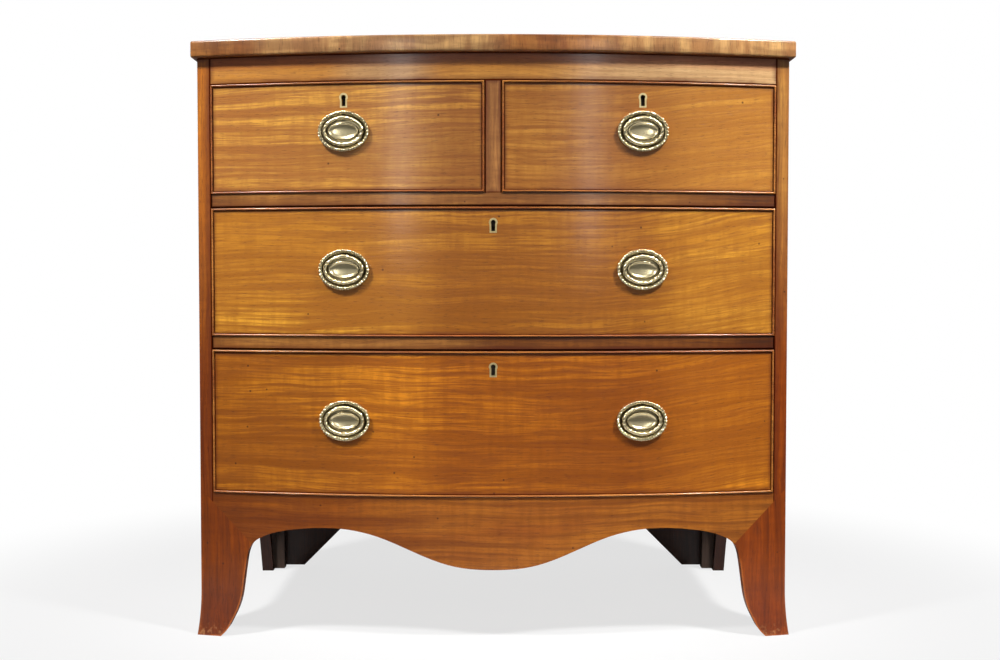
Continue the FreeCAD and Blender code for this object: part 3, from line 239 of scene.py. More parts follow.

# %% [markdown]
# ## Old polish and painted shade at the edges
# A duster doesn't reach the corners of a panel. Dirt and wax darken its last centimetre
# unevenly, and a dull dark line is left against the bead. Both are also painted shade: the
# red tone of the darkening matches the shade under the top, and the line stands for the
# bead's shade as well. On the rails the line is near black, painted shade of the gap that a
# drawer shuts against. They all follow from how far a point is from the nearest edge, which
# two subtractions and a minimum give.

# %% Edge dirt and painted shade
DIRT_AND_SHADE_WIDTH = 10 * MM
# Dirt and painted shade: the edges darken to the red tone of the shade under the top.
DIRT_AND_SHADE_TONE = "#541E08"
# Old wax and painted shade: a dull dark line against the bead, in the tone of its shade.
WAX_AND_SHADE_LINE = (1.8 * MM, "#421405")
# Painted shade: a near black line on the rails, for the dark gap a drawer shuts against.
GAP_SHADE_LINE = (3.5 * MM, "#140301")
BEAD_WIDTH = 3 * MM


def edge_dirt_and_shade(tree, colour, limits, seed):
    """The limits are those of x and z, how much of the edge is hidden under a bead, and the
    width and tone of the line. Returns the new colour and the share of the line."""
    x_low, x_high, z_low, z_high, hidden, (line_width, line_tone) = limits
    place = add(tree, "TexCoord").outputs["Object"]
    x, _, z = add(tree, "SeparateXYZ", [place]).outputs
    inward = []
    for value, low, high in ((x, x_low, x_high), (z, z_low, z_high)):
        centred = add(tree, "Math", (value, (low + high) / 2), operation="SUBTRACT")
        away = add(tree, "Math", [centred], operation="ABSOLUTE")
        inward.append(add(tree, "Math", ((high - low) / 2, away), operation="SUBTRACT"))
    nearest = add(tree, "Math", inward, operation="MINIMUM")
    uneven = add(tree, "TexNoise", {"Vector": place, "Scale": 22.0, "Detail": 3.0, "W": seed},
                 noise_dimensions="4D")
    # Dirt and painted shade darken the last centimetre; old wax and painted shade make the line.
    edge = add(tree, "MapRange", (nearest, hidden, DIRT_AND_SHADE_WIDTH, 1.25, 0.0), **SOFT_STEP)
    dirt_and_shade = add(tree, "Math", (edge, uneven), operation="MULTIPLY", use_clamp=True)
    line = add(tree, "MapRange", (nearest, hidden + line_width / 2, hidden + line_width,
                                  0.94, 0.0), **SOFT_STEP)
    open_face = add(tree, "MapRange", (nearest, hidden - 1.0 * MM, hidden - 0.2 * MM),
                    **SOFT_STEP)
    line = add(tree, "Math", (line, open_face), operation="MULTIPLY")
    return lay_over(tree, colour, (dirt_and_shade, open_face, DIRT_AND_SHADE_TONE), (line, 1.0, line_tone)), line


print("widths of dirt and line in mm:", round(DIRT_AND_SHADE_WIDTH / MM), round(WAX_AND_SHADE_LINE[0] / MM, 1))

# %% [markdown]
# ## Mahogany
# Mahogany is a golden to red brown wood with ribbon stripes, because its fibres lean first
# one way and then the other. Its pores show as short dark dashes. French polish, thin layers
# of shellac, gives a clear skin with a soft shine, which the coat of the shader stands for.
# Real pores are 0.2 mm wide, too fine for this view, so they are drawn 0.9 mm wide. Each mark
# is noise drawn long and thin, and the marks are laid over two ground tones one by one.

# %% Mahogany
# Of each mark: how long and wide it is, its detail, and where its noise begins and is full.
MARKS = {"ribbon": (0.42, 0.011, 4.0, (0.42, 0.62)),
         "fine line": (0.070, 0.0030, 4.0, (0.40, 0.66)),
         "pore": (0.014, 0.0009, 2.0, (0.57, 0.70)),
         "cross mark": (0.013, 0.070, 3.0, (0.38, 0.64)),
         "long line": (0.16, 0.0055, 2.0, (0.52, 0.68))}
FADING = ("ribbon", "long line")
PORE_TONE = "#3A1A0A"
SPECK_TONE = "#43200F"
PLAIN_SHARE = 0.75
PLAIN_FADE = 90 * MM
RISE_START, RISE_END = 0.16, 0.50
GRAIN_RELIEF, COAT_RELIEF = 0.06 * MM, 0.01 * MM


def mahogany(name, grain, light, middle, dark, seed, ribbon=0.5, streak=0.4, mottle=0.2,
             patch_size=0.16, polish=0.5, dirt_and_shade_box=None, plain_from=None, tints=(), worn=0.0,
             scuffed=False, rise=0.0):
    """dirt_and_shade_box is the limits of a panel whose edges hold old polish and painted shade,
    as edge_dirt_and_shade takes them.
    plain_from is the x beyond which the stripes fade. Each of the tints is a colour, an axis
    and four places along it: where the tint begins, is full, begins to fade and ends. worn
    is how far the arrises are rubbed down to bare wood. A scuffed piece has a bruised foot.
    rise is how far, in metres, the grain climbs towards the right end of a front."""
    material, tree, shader = new_material(name)
    space = grain_space(tree, grain)
    right = add(tree, "SeparateXYZ", [space]).outputs[0]
    climb = add(tree, "MapRange", (right, RISE_START, RISE_END, 0.0, -rise), **SOFT_STEP)
    wavy = bent_grain(tree, space, 0.32, 0.10, seed + 1, 30 * MM, 2.0, climb)
    marks = {}
    for step, (mark, (length, width, detail, limits)) in enumerate(MARKS.items(), 3):
        marks[mark] = fibres(tree, space if mark == "cross mark" else wavy, length, width,
                             seed + step, detail, limits)
    if plain_from is not None:
        along = add(tree, "SeparateXYZ", [wavy]).outputs[0]
        figure = add(tree, "MapRange", (along, plain_from - PLAIN_FADE, plain_from + PLAIN_FADE,
                                        1.0, PLAIN_SHARE), **SOFT_STEP)
        for mark in FADING:
            marks[mark] = add(tree, "Math", (marks[mark], figure), operation="MULTIPLY")

    ground = fibres(tree, wavy, patch_size * 2.2, patch_size / 2, seed + 2, limits=(0.40, 0.62))
    cells = add(tree, "TexVoronoi", {"Vector": space, "Scale": 26.0})
    specks = add(tree, "MapRange", (cells, 0.030, 0.055, 0.75, 0.0), **SOFT_STEP)
    colour = lay_over(tree, linear(light), (ground, 1.0, middle), (marks["ribbon"], ribbon, dark),
                      (marks["fine line"], streak, dark), (marks["cross mark"], mottle, dark),
                      (marks["long line"], streak, dark), (marks["pore"], 0.50, PORE_TONE),
                      (specks, 1.0, SPECK_TONE))
    for tint in tints:
        colour = tinted(tree, colour, *tint)

    shines = {"Coat Weight": polish, "Specular IOR Level": 0.25}
    feed(tree, shader, shines)
    # Old polish and painted shade along the edges, with a dull line against the bead.
    if dirt_and_shade_box is not None:
        colour, line = edge_dirt_and_shade(tree, colour, dirt_and_shade_box, seed)
        for socket, shine in shines.items():
            dulled = add(tree, "MapRange", (line, 0.0, 1.0, shine, 0.0), **SOFT_STEP)
            feed(tree, shader, {socket: dulled})
    if worn > 0:
        colour = worn_arris(tree, colour, worn)
    if scuffed:
        colour = scuffed_end(tree, colour, space)
    rough = add(tree, "MapRange", (marks["fine line"], 0.0, 1.0, 0.34, 0.46), **SOFT_STEP)
    feed(tree, shader, {"Base Color": colour, "Roughness": rough, "IOR": 1.5,
                        "Coat Roughness": 0.16, "Coat IOR": 1.52})

    ripple = fibres(tree, space, 0.09, 0.05, seed + 8, detail=1.0)
    swell = add(tree, "Bump", {"Height": ripple, "Strength": 1.0, "Distance": 0.4 * MM})
    open_grain = add(tree, "Math", (marks["pore"], marks["fine line"]), operation="ADD")
    for socket, relief in (("Normal", GRAIN_RELIEF), ("Coat Normal", COAT_RELIEF)):
        bump = add(tree, "Bump", {"Height": open_grain, "Strength": 1.0, "Distance": relief,
                                  "Normal": swell}, invert=True)
        feed(tree, shader, {socket: bump})
    return material


print("marks of the wood:", ", ".join(MARKS))

# %% [markdown]
# ## The drawer fronts
# A chest is cut from several planks, so each board has its own seed and tones. The fronts
# are golden, with ribbon figure at their left and plainer at their right, where the grain
# climbs. The lower ones are deeper in colour than the upper ones.

# %% Finishes of the drawer fronts
DRAWERS = ("short_left", "short_right", "long_upper", "long_lower")
# Of each front: its light, middle and dark tone, its seed, and where it turns plain.
FRONT_TONES = {
    "short_left": ("#D3983D", "#AD7730", "#975D26", 1.0, -0.26),
    "short_right": ("#CF943C", "#B0742A", "#9F6423", 2.0, -0.10),
    "long_upper": ("#D9992F", "#B3741F", "#955A17", 3.0, -0.14),
    "long_lower": ("#D3831B", "#AA6214", "#8F4D0C", 4.0, -0.16),
}
ALONG_X, ALONG_Z = 0, 2
# A tint that begins or ends beyond the chest has no soft edge on that side.
FAR = 1.0
FROM_START = (-2 * FAR, -FAR)
TO_END = (FAR, 2 * FAR)
# FRONT_TINT darkens the middle of every front, and LOWEST_TINT the left end of the lowest.
FRONT_TINT = ("#DCCFC4", ALONG_X, -0.14, -0.05, 0.20, 0.32)
LOWEST_TINT = ("#E4E4EC", ALONG_X, *FROM_START, -0.28, -0.12)
finishes = {}
for drawer, (light, middle, dark, seed, plain_from) in FRONT_TONES.items():
    low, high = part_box(drawer + "_front")
    finishes[drawer + "_front"] = mahogany(
        drawer + "_mahogany_veneer", "round the bow", light, middle, dark, seed,
        ribbon=1.0, streak=0.80, mottle=0.36, patch_size=0.22, plain_from=plain_from, rise=0.035,
        dirt_and_shade_box=(low.x, high.x, low.z, high.z, BEAD_WIDTH, WAX_AND_SHADE_LINE),
        tints=(FRONT_TINT, LOWEST_TINT) if drawer == "long_lower" else (FRONT_TINT,))
print("drawer fronts finished:", len(finishes))

# %% [markdown]
# ## The boards of the case
# The frieze is paler and cooler than the fronts. Where its golden tints leave gaps, left of
# the middle and at its right end, the paler wood is a painted shine, and its last tint is
# painted shade under the top. The rails and the upright between the short drawers are narrow
# and browner, with a dark line where a drawer shuts against them; on the rails that line is
# painted shade of the gap, and the right part of the lower rail is darkened as painted shade
# of a wider gap there. The sides and the apron are red brown, and each side has its own
# tones, darker towards the bottom.

# %% Finishes of the case
# The gaps between the golden tints are painted shine; the pink band at the top is painted shade.
GOLDEN = "#F7DB92"
FRIEZE_TINTS_AND_PAINTED_LIGHT = ((GOLDEN, ALONG_X, *FROM_START, -0.26, -0.19),
                (GOLDEN, ALONG_X, -0.13, -0.07, 0.06, 0.24),
                ("#EABCBC", ALONG_Z, 0.856, 0.872, *TO_END))
# On the lower rail the tint is painted shade of a wider gap at its right.
RAIL_TINTS_AND_SHADE = {"rail_upper": ("#CDBEB2", ALONG_X, 0.24, 0.36, *TO_END),
              "rail_lower": ("#AE9579", ALONG_X, -0.10, 0.02, *TO_END)}
RAIL_END_TINTS = (("#C2B4B0", ALONG_X, 0.34, 0.40, *TO_END),
                  ("#D8CCC4", ALONG_X, *FROM_START, -0.41, -0.35))
APRON_TINT = ("#E2D3B3", ALONG_X, *FROM_START, -0.26, -0.08)
SIDES = {"side_left": ("#D18624", "#B46619", "#83440D", "#A88788"),
         "side_right": ("#C89544", "#AC7132", "#7D4C1E", "#B77338")}


def edges_of(node_name):
    """The edges of a piece that no bead covers, darkened by dirt and painted shade."""
    low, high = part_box(node_name)
    return low.x, high.x, low.z, high.z, 0.0, WAX_AND_SHADE_LINE


finishes["frieze_rail"] = mahogany("frieze_mahogany", "round the bow", "#D4AC78", "#BE905A",
                                   "#956B40", 11.0, ribbon=0.45, mottle=0.15, tints=FRIEZE_TINTS_AND_PAINTED_LIGHT,
                                   dirt_and_shade_box=edges_of("frieze_rail"))
for rail, tint in RAIL_TINTS_AND_SHADE.items():
    x_low, x_high, z_low, *_ = edges_of(rail)
    finishes[rail] = mahogany(rail + "_mahogany", "round the bow", "#AF7737", "#956029",
                              "#6B3D17", 12.0, streak=0.5, mottle=0.3, patch_size=0.10,
                              tints=(tint, *RAIL_END_TINTS),
                              dirt_and_shade_box=(x_low, x_high, z_low, FAR, 0.0, GAP_SHADE_LINE))
finishes["drawer_divider"] = mahogany("divider_mahogany", "upright", "#BC8346", "#9C6534",
                                      "#70421E", 17.0, streak=0.5, mottle=0.35,
                                      patch_size=0.08, dirt_and_shade_box=edges_of("drawer_divider"))
finishes["apron"] = mahogany("apron_mahogany", "round the bow", "#A6621B", "#8F4D15", "#69330A",
                             14.0, ribbon=0.55, mottle=0.25, patch_size=0.18,
                             tints=(APRON_TINT,))
for side, (*tones, low_tint) in SIDES.items():
    x_low, x_high, z_low, z_high, *seam = edges_of(side)
    inner = (-FAR, x_high) if x_high < 0 else (x_low, FAR)
    finishes[side] = mahogany(side + "_mahogany", "upright", *tones, 15.0, ribbon=0.55,
                              streak=0.45, patch_size=0.20,
                              tints=((low_tint, ALONG_Z, *FROM_START, 0.36, 0.88),),
                              dirt_and_shade_box=(*inner, -FAR, z_high, *seam))
print("with the boards of the case:", len(finishes))

# %% [markdown]
# ## Feet, top and beads
# The feet are the reddest wood, worn at their edges and bruised at the floor, and tinted
# darker at the very bottom. The rear ones have hardly been polished. Their finish is a darker,
# duller copy of the front feet's: it has less polish, and its darker tones and a tint on their
# inner side are painted shade, for the dark they stand in. The top board is plain, and its
# edge has a band of veneer laid with the grain upright, which looks short and blotchy from
# the front.

# %% Finishes of the feet, the top and the beads
FOOT_TINTS = (("#DBCCC0", ALONG_Z, *FROM_START, 0.03, 0.11),
              ("#EFEDFF", ALONG_Z, 0.12, 0.17, *TO_END),
              ("#EBF3FF", ALONG_X, *FROM_START, -0.10, 0.10))
# Painted shade: darkens the inner side of the rear feet.
INNER_FOOT_SHADE = ("#686982", ALONG_X, -0.446, -0.440, 0.440, 0.446)
TOP_EDGE_TINTS = (("#C0A386", ALONG_X, *FROM_START, -0.40, -0.29),
                  ("#DCB990", ALONG_X, -0.01, 0.04, 0.12, 0.24))
foot_wood = mahogany("foot_mahogany", "upright", "#A74D07", "#8E3E06", "#622703", 16.0,
                     ribbon=0.4, streak=0.45, patch_size=0.12, tints=FOOT_TINTS, worn=0.85,
                     scuffed=True)
# Less polish, and darker tones that are painted shade of the rear feet.
shaded_rear_foot_wood = mahogany("rear_foot_mahogany", "upright", "#944308", "#7E3606", "#562103", 16.5,
                     ribbon=0.4, patch_size=0.12, polish=0.2, tints=(INNER_FOOT_SHADE,))
for hand in ("left", "right"):
    finishes["front_foot_" + hand] = foot_wood
    finishes["rear_foot_" + hand] = shaded_rear_foot_wood
top_wood = mahogany("top_mahogany", "side to side", "#A8652B", "#8F4E1E", "#663110", 18.0,
                    ribbon=0.7, patch_size=0.30, polish=0.6)
edge_wood = mahogany("top_edge_cross_veneer", "upright", "#CE9F62", "#AB7847", "#774F2F", 19.0,
                     ribbon=0.30, streak=0.14, mottle=0.60, patch_size=0.045, tints=TOP_EDGE_TINTS)
bead_wood = mahogany("bead_mahogany", "round the bow", "#B57330", "#965221", "#5A2C11", 20.0,
                     ribbon=0.3, mottle=0.1, polish=0.25)
print("mahogany finishes:", len({finish.name for finish in finishes.values()}) + 3)

# %% [markdown]
# ## Oak and pine
# Inside, the drawers are lined with oak, planed and left bare, and the parts that nobody
# sees are pine. Bare wood is matt: no coat, a rough surface, and wide growth rings. The glue
# blocks are drawn nearly black, for the shade they sit in.

# %% Bare woods
FLECK_TONE = "#4B3018"
GRIME_TONE = "#3F2A18"


def bare_wood(name, grain, light, dark, ring_width, seed, soot=0.25):
    """Unpolished board. ring_width is the spacing of the growth rings in metres."""
    material, tree, shader = new_material(name)
    space = grain_space(tree, grain)
    wavy = bent_grain(tree, space, 0.5, 0.12, seed + 1, 50 * MM, 1.0)
    rings = fibres(tree, wavy, 0.9, ring_width, seed + 2, limits=(0.40, 0.62))
    flecks = fibres(tree, wavy, 0.03, 0.0012, seed + 3, 2.0, limits=(0.56, 0.72))
    grime = fibres(tree, space, 0.2, 0.1, seed + 4, 4.0, limits=(0.45, 0.75))
    colour = lay_over(tree, linear(light), (rings, 1.0, dark), (flecks, 0.35, FLECK_TONE),
                      (grime, soot, GRIME_TONE))
    rough = add(tree, "MapRange", (rings, 0.0, 1.0, 0.62, 0.78), **SOFT_STEP)
    height = add(tree, "Math", (rings, flecks), operation="SUBTRACT")
    bump = add(tree, "Bump", {"Height": height, "Strength": 1.0, "Distance": 0.15 * MM})
    feed(tree, shader, {"Base Color": colour, "Roughness": rough, "IOR": 1.5, "Normal": bump})
    return material


oak_lining = bare_wood("drawer_lining_oak", "front to back", "#B99468", "#9A744A", 0.006, 31.0)
oak_back = bare_wood("drawer_back_oak", "side to side", "#B28C60", "#936D44", 0.006, 32.0)
pine_board = bare_wood("carcass_pine", "side to side", "#B08A58", "#8E6236", 0.009, 33.0, 0.45)
for drawer in DRAWERS:
    finishes[drawer + "_sides"] = oak_lining
    finishes[drawer + "_back"] = oak_back
    finishes[drawer + "_bottom"] = oak_back
for node_name in ("dustboards", "drawer_runners", "drawer_stops", "carcass_bottom"):
    finishes[node_name] = pine_board
finishes["backboards"] = bare_wood("backboard_pine", "upright", "#A98252", "#7F5830", 0.012,
                                   34.0, 0.55)
finishes["glue_blocks"] = bare_wood("glue_block_pine", "upright", "#2E1A10", "#1F120B", 0.009,
                                    35.0, 0.6)
print("with the bare boards:", len(finishes))

# %% [markdown]
# ## Brass, iron and steel
# The handles are brass, lacquered once and worn since: bright where hands rub, brown in the
# hollows. The shader asks how open each point is, and mixes the brown in where it is closed.
# The locks are wrought iron, dull and mottled, and their bolts are filed steel.

# %% Metals
HOLLOW_REACH = 4.5 * MM
CLOSED, OPEN = 0.38, 0.78


def old_metal(name, bright, tarnish, worn_roughness, dull_roughness, tarnish_share, seed,
              hollow_share=1.0):
    """A metal that is dark in its hollows and patchy where it is open."""
    material, tree, shader = new_material(name)
    place = add(tree, "TexCoord").outputs["Object"]
    openness = add(tree, "AmbientOcclusion", {"Distance": HOLLOW_REACH}, samples=6).outputs["AO"]
    hollow = add(tree, "MapRange", (openness, CLOSED, OPEN, hollow_share, 0.0), **SOFT_STEP)
    cloud = add(tree, "TexNoise", {"Vector": place, "Scale": 140.0, "Detail": 4.0, "W": seed},
                noise_dimensions="4D")
    patchy = add(tree, "MapRange", (cloud, 0.42, 0.72, 0.0, tarnish_share), **SOFT_STEP)
    dull = add(tree, "Math", (hollow, patchy), operation="MAXIMUM")
    colour = lay_over(tree, linear(bright), (dull, 1.0, tarnish))
    rough = add(tree, "MapRange", (dull, 0.0, 1.0, worn_roughness, dull_roughness), **SOFT_STEP)
    bump = add(tree, "Bump", {"Height": cloud, "Strength": 0.3, "Distance": 0.05 * MM})
    feed(tree, shader, {"Base Color": colour, "Metallic": 1.0, "Roughness": rough,
                        "Normal": bump})
    return material


cast_brass = old_metal("cast_brass", "#F4E4B6", "#1E1408", 0.22, 0.55, 0.16, 41.0)
thread_brass = old_metal("keyhole_thread_brass", "#D6C592", "#A48B52", 0.45, 0.55, 0.5, 44.0,
                         hollow_share=0.0)
wrought_iron = old_metal("lock_wrought_iron", "#6E6760", "#3A2E26", 0.45, 0.70, 0.8, 42.0)
filed_steel = old_metal("bolt_filed_steel", "#B5B0A6", "#5B534A", 0.30, 0.55, 0.5, 43.0)
for drawer in DRAWERS:
    finishes[drawer + "_escutcheon"] = thread_brass
    finishes[drawer + "_lock"] = wrought_iron
    finishes[drawer + "_lock_bolt"] = filed_steel
print("with the locks and keyholes:", len(finishes))

# %% [markdown]
# ## Dress the joined pieces
# A piece from the frame keeps its mesh. It gets its finish, and its faces are shaded smooth,
# so that the bowed boards look like one curve and not like many flat strips.

# %% Assign finishes
for node_name, finish in finishes.items():
    mesh = nodes[node_name].data
    mesh.materials.clear()
    mesh.materials.append(finish)
    mesh.shade_smooth()
print("pieces dressed:", len(finishes), "of", len(nodes))

# %% [markdown]
# ## From a bmesh to a finished piece
# Every new piece is modelled in place as a bmesh and becomes an object at the origin. Faces
# that meet at more than a set angle keep a sharp edge between them, and the rest is smooth.

# %% Finish a piece
SHARP_ANGLE = math.radians(38)


def finished(name, shape, body, slot, finish, *replaced):
    """Turns a bmesh into an object that rides on a body and stands for frame nodes."""
    mesh = bpy.data.meshes.new(name)
    shape.to_mesh(mesh)
    shape.free()
    mesh.shade_smooth()
    mesh.set_sharp_from_angle(angle=SHARP_ANGLE)
    mesh.materials.append(finish)
    piece = bpy.data.objects.new(name, mesh)
    bpy.context.scene.collection.objects.link(piece)
    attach(piece, body)
    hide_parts(*replaced)
    return piece


print("edges stay sharp from, in degrees:", round(math.degrees(SHARP_ANGLE)))

# %% [markdown]
# ## The cock beads
# A cock bead is a thin strip let into the edges of a drawer front, and its rounded nose
# stands just proud. The two long strips bend with the bow, so their section is spun about
# the arc's centre. The upright strips are extruded.

# %% Strips of bead
BEAD_PROUD = 2.5 * MM
BEAD_SEAT = 8 * MM
NOSE_STEPS = 8
BOW_STEPS = 72


def bead_section():
    """Across and outward places of a bead's section: a flat back and a half round nose."""
    half = BEAD_WIDTH / 2
    nose = [(half + half * math.cos(math.pi * step / NOSE_STEPS),
             BEAD_PROUD - half + half * math.sin(math.pi * step / NOSE_STEPS))
            for step in range(NOSE_STEPS + 1)]
    return [(0, -BEAD_SEAT), (BEAD_WIDTH, -BEAD_SEAT), *nose]


def closed_loop(shape, places):
    """A ring of vertices and edges."""
    corners = [shape.verts.new(place) for place in places]
    edges = [shape.edges.new((corner, corners[(index + 1) % len(corners)]))
             for index, corner in enumerate(corners)]
    return corners + edges


def long_bead(shape, z, turn):
    """A strip along the bow whose lower face is at z."""
    loop = closed_loop(shape, [(0, BOW_CENTRE_Y - BOW_RADIUS - out, z + across)
                               for across, out in bead_section()])
    centre = (0, BOW_CENTRE_Y, 0)
    bmesh.ops.rotate(shape, verts=loop[:len(loop) // 2], cent=centre,
                     matrix=Matrix.Rotation(-turn, 3, "Z"))
    bmesh.ops.spin(shape, geom=loop, cent=centre, axis=(0, 0, 1), angle=2 * turn,
                   steps=BOW_STEPS, use_merge=False)


def upright_bead(shape, x, z_low, z_high):
    """A strip that stands between two heights, its left face at x."""
    loop = closed_loop(shape, [(x + across, on_bow(x + across) - out, z_low)
                               for across, out in bead_section()])
    run = bmesh.ops.extrude_edge_only(shape, edges=loop[len(loop) // 2:])
    moved = [item for item in run["geom"] if isinstance(item, bmesh.types.BMVert)]
    bmesh.ops.translate(shape, verts=moved, vec=(0, 0, z_high - z_low))


print("bead width and stand in mm:", BEAD_WIDTH / MM, BEAD_PROUD / MM)

# %% [markdown]
# ## Mitred corners
# The strips meet at 45 degrees, as the sides of a picture frame do. Each strip is made, then
# a plane cuts it through the corner and the open end is filled.

# %% Cock beads
ON_PLANE = 1e-7


def mitre(shape, x, z, x_side, z_side):
    """Cuts at 45 degrees through a corner, and keeps the side that the two signs point to."""
    everything = shape.verts[:] + shape.edges[:] + shape.faces[:]
    bmesh.ops.bisect_plane(shape, geom=everything, plane_co=(x, 0, z),
                           plane_no=(x_side, 0, z_side), clear_inner=True, dist=ON_PLANE)
    bmesh.ops.holes_fill(shape, edges=[edge for edge in shape.edges if edge.is_boundary])


def bead_strip(limits, which):
    """One of the four strips, cut to length."""
    left, right, low, high = limits
    strip = bmesh.new()
    reach = math.asin((max(abs(left), abs(right)) + 2 * BEAD_WIDTH) / BOW_RADIUS)
    if which in ("top", "bottom"):
        long_bead(strip, high - BEAD_WIDTH if which == "top" else low, reach)
        side = 1 if which == "top" else -1
        level = high if which == "top" else low
        mitre(strip, left, level, 1, side)
        mitre(strip, right, level, -1, side)
    else:
        upright_bead(strip, left if which == "left" else right - BEAD_WIDTH, low, high)
        side = -1 if which == "left" else 1
        edge = left if which == "left" else right
        mitre(strip, edge, high, side, -1)
        mitre(strip, edge, low, side, 1)
    return strip


def join(parts):
    """Several bmeshes as one."""
    whole = bmesh.new()
    for part in parts:
        mesh = bpy.data.meshes.new("part")
        part.to_mesh(mesh)
        part.free()
        whole.from_mesh(mesh)
        bpy.data.meshes.remove(mesh)
    return whole


for drawer in DRAWERS:
    low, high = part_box(drawer + "_cock_beads")
    limits = (low.x, high.x, low.z, high.z)
    beads = join([bead_strip(limits, which) for which in ("left", "top", "right", "bottom")])
    bmesh.ops.recalc_face_normals(beads, faces=beads.faces)
    finished(drawer + "_beading", beads, drawer + "_drawer", "bead_mahogany", bead_wood,
             drawer + "_cock_beads")
print("drawers beaded:", len(DRAWERS))

# %% [markdown]
# ## The top
# The top is one bowed board. Its front and side edges are faced with a band of veneer whose
# grain runs up and down, so the band has short, blotchy markings. The outline is an arc spun
# between the two front corners, closed round the back, pushed up and then rounded. It keeps
# a hair's breadth inside the joined board, so that rounding errors can't make it larger.

# %% The top
HAIR = 0.02 * MM
TOP_ROUND = 3 * MM
TOP_STEPS = 72
TOP_FACES = 0.9
AT_EDGE = 0.01 * MM
low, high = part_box("top")
low += Vector((HAIR, HAIR, 0))
high -= Vector((HAIR, 0, 0))
top_radius = BOW_CENTRE_Y - low.y
top_turn = math.asin(high.x / top_radius)

board = bmesh.new()
first = board.verts.new((0, BOW_CENTRE_Y - top_radius, low.z))
bmesh.ops.rotate(board, verts=[first], cent=(0, BOW_CENTRE_Y, 0),
                 matrix=Matrix.Rotation(-top_turn, 3, "Z"))
bmesh.ops.spin(board, geom=[first], cent=(0, BOW_CENTRE_Y, 0), axis=(0, 0, 1),
               angle=2 * top_turn, steps=TOP_STEPS, use_merge=False)
front_corners = sorted(board.verts, key=lambda vert: vert.co.x)
back_right = board.verts.new((high.x, high.y, low.z))
back_left = board.verts.new((low.x, high.y, low.z))
board.edges.new((front_corners[-1], back_right))
board.edges.new((back_right, back_left))
board.edges.new((back_left, front_corners[0]))
bmesh.ops.contextual_create(board, geom=board.edges[:])
raised = bmesh.ops.extrude_face_region(board, geom=board.faces[:])
bmesh.ops.translate(board, vec=(0, 0, high.z - low.z),
                    verts=[item for item in raised["geom"]
                           if isinstance(item, bmesh.types.BMVert)])
bmesh.ops.recalc_face_normals(board, faces=board.faces)


def stays_sharp(edge):
    """The back edges, and the short upright joints of the bow, are not rounded."""
    ends = [vert.co for vert in edge.verts]
    at_back = all(abs(place.y - high.y) < AT_EDGE for place in ends)
    upright = abs(ends[0].z - ends[1].z) > AT_EDGE
    at_corner = abs(abs(ends[0].x) - high.x) < AT_EDGE
    return at_back or (upright and not at_corner)


bmesh.ops.bevel(board, geom=[edge for edge in board.edges if not stays_sharp(edge)],
                offset=TOP_ROUND, offset_type="OFFSET", segments=4, profile=0.5,
                affect="EDGES", material=-1, clamp_overlap=True)
for face in board.faces:
    face.material_index = 0 if abs(face.normal.z) > TOP_FACES else 1
top_board = finished("top_board", board, "carcass", "top_mahogany", top_wood, "top")
top_board.data.materials.append(edge_wood)
print("top board faces:", len(top_board.data.polygons))

# %% [markdown]
# ## The oval of the handles
# Every line of a handle runs parallel to one oval, made of four arcs. A section is spun about
# the first centre, then its end is spun about the next, and so on round. The same sweep makes
# the plate, the ring and any other moulding on it.

# %% Sweep round the oval
HALF_WIDTH = 28.25 * MM
HALF_HEIGHT = 19.75 * MM
END_RADIUS = 15 * MM
FLAT_RADIUS = (((HALF_WIDTH - END_RADIUS) ** 2 + HALF_HEIGHT ** 2 - END_RADIUS ** 2)
               / (2 * (HALF_HEIGHT - END_RADIUS)))
END_X = HALF_WIDTH - END_RADIUS
FLAT_Z = FLAT_RADIUS - HALF_HEIGHT
END_TURN = math.atan(FLAT_Z / END_X)
ARCS = (((END_X, 0), END_RADIUS, -END_TURN, 2 * END_TURN),
        ((0, -FLAT_Z), FLAT_RADIUS, END_TURN, math.pi - 2 * END_TURN),
        ((-END_X, 0), END_RADIUS, math.pi - END_TURN, 2 * END_TURN),
        ((0, FLAT_Z), FLAT_RADIUS, math.pi + END_TURN, math.pi - 2 * END_TURN))
OVAL_LENGTH = sum(radius * sweep for _, radius, _, sweep in ARCS)
WELD = 1e-6
TINY = 1e-9


def on_oval(share, offset=0.0):
    """The place and the outward angle at a share of the way round, from the lower right."""
    left = (share % 1.0) * OVAL_LENGTH
    for centre, radius, start, sweep in ARCS:
        if left <= radius * sweep + TINY:
            angle = start + left / radius
            reach = radius + offset
            return Vector((centre[0] + reach * math.cos(angle), 0,
                           centre[1] + reach * math.sin(angle))), angle
        left -= radius * sweep


def swept_oval(section, steps, closed):
    """A section of offsets and heights, taken round the oval."""
    shape = bmesh.new()
    places = []
    for offset, height in section:
        place, _ = on_oval(0.0, offset)
        places.append((place.x, -height, place.z))
    if closed:
        loop = closed_loop(shape, places)
    else:
        corners = [shape.verts.new(place) for place in places]
        loop = corners + [shape.edges.new(pair) for pair in zip(corners, corners[1:])]
    for centre, radius, _, sweep in ARCS:
        share = max(4, round(steps * radius * sweep / OVAL_LENGTH))
        loop = bmesh.ops.spin(shape, geom=loop, cent=(centre[0], 0, centre[1]), axis=(0, -1, 0),
                              angle=sweep, steps=share, use_merge=False)["geom_last"]
    bmesh.ops.remove_doubles(shape, verts=shape.verts, dist=WELD)
    return shape


print("way round the oval in mm:", round(OVAL_LENGTH / MM, 1))

# %% [markdown]
# ## The backplate
# The plate is pressed from sheet brass: a raised rim, a channel that the ring lies in, and a
# boss with a dish in its middle. The sweep makes the rim and the channel. Its inner edge is
# then extruded loop by loop onto ellipses, because the boss is a true ellipse and not a line
# parallel to the rim, which would come to a point at both ends.

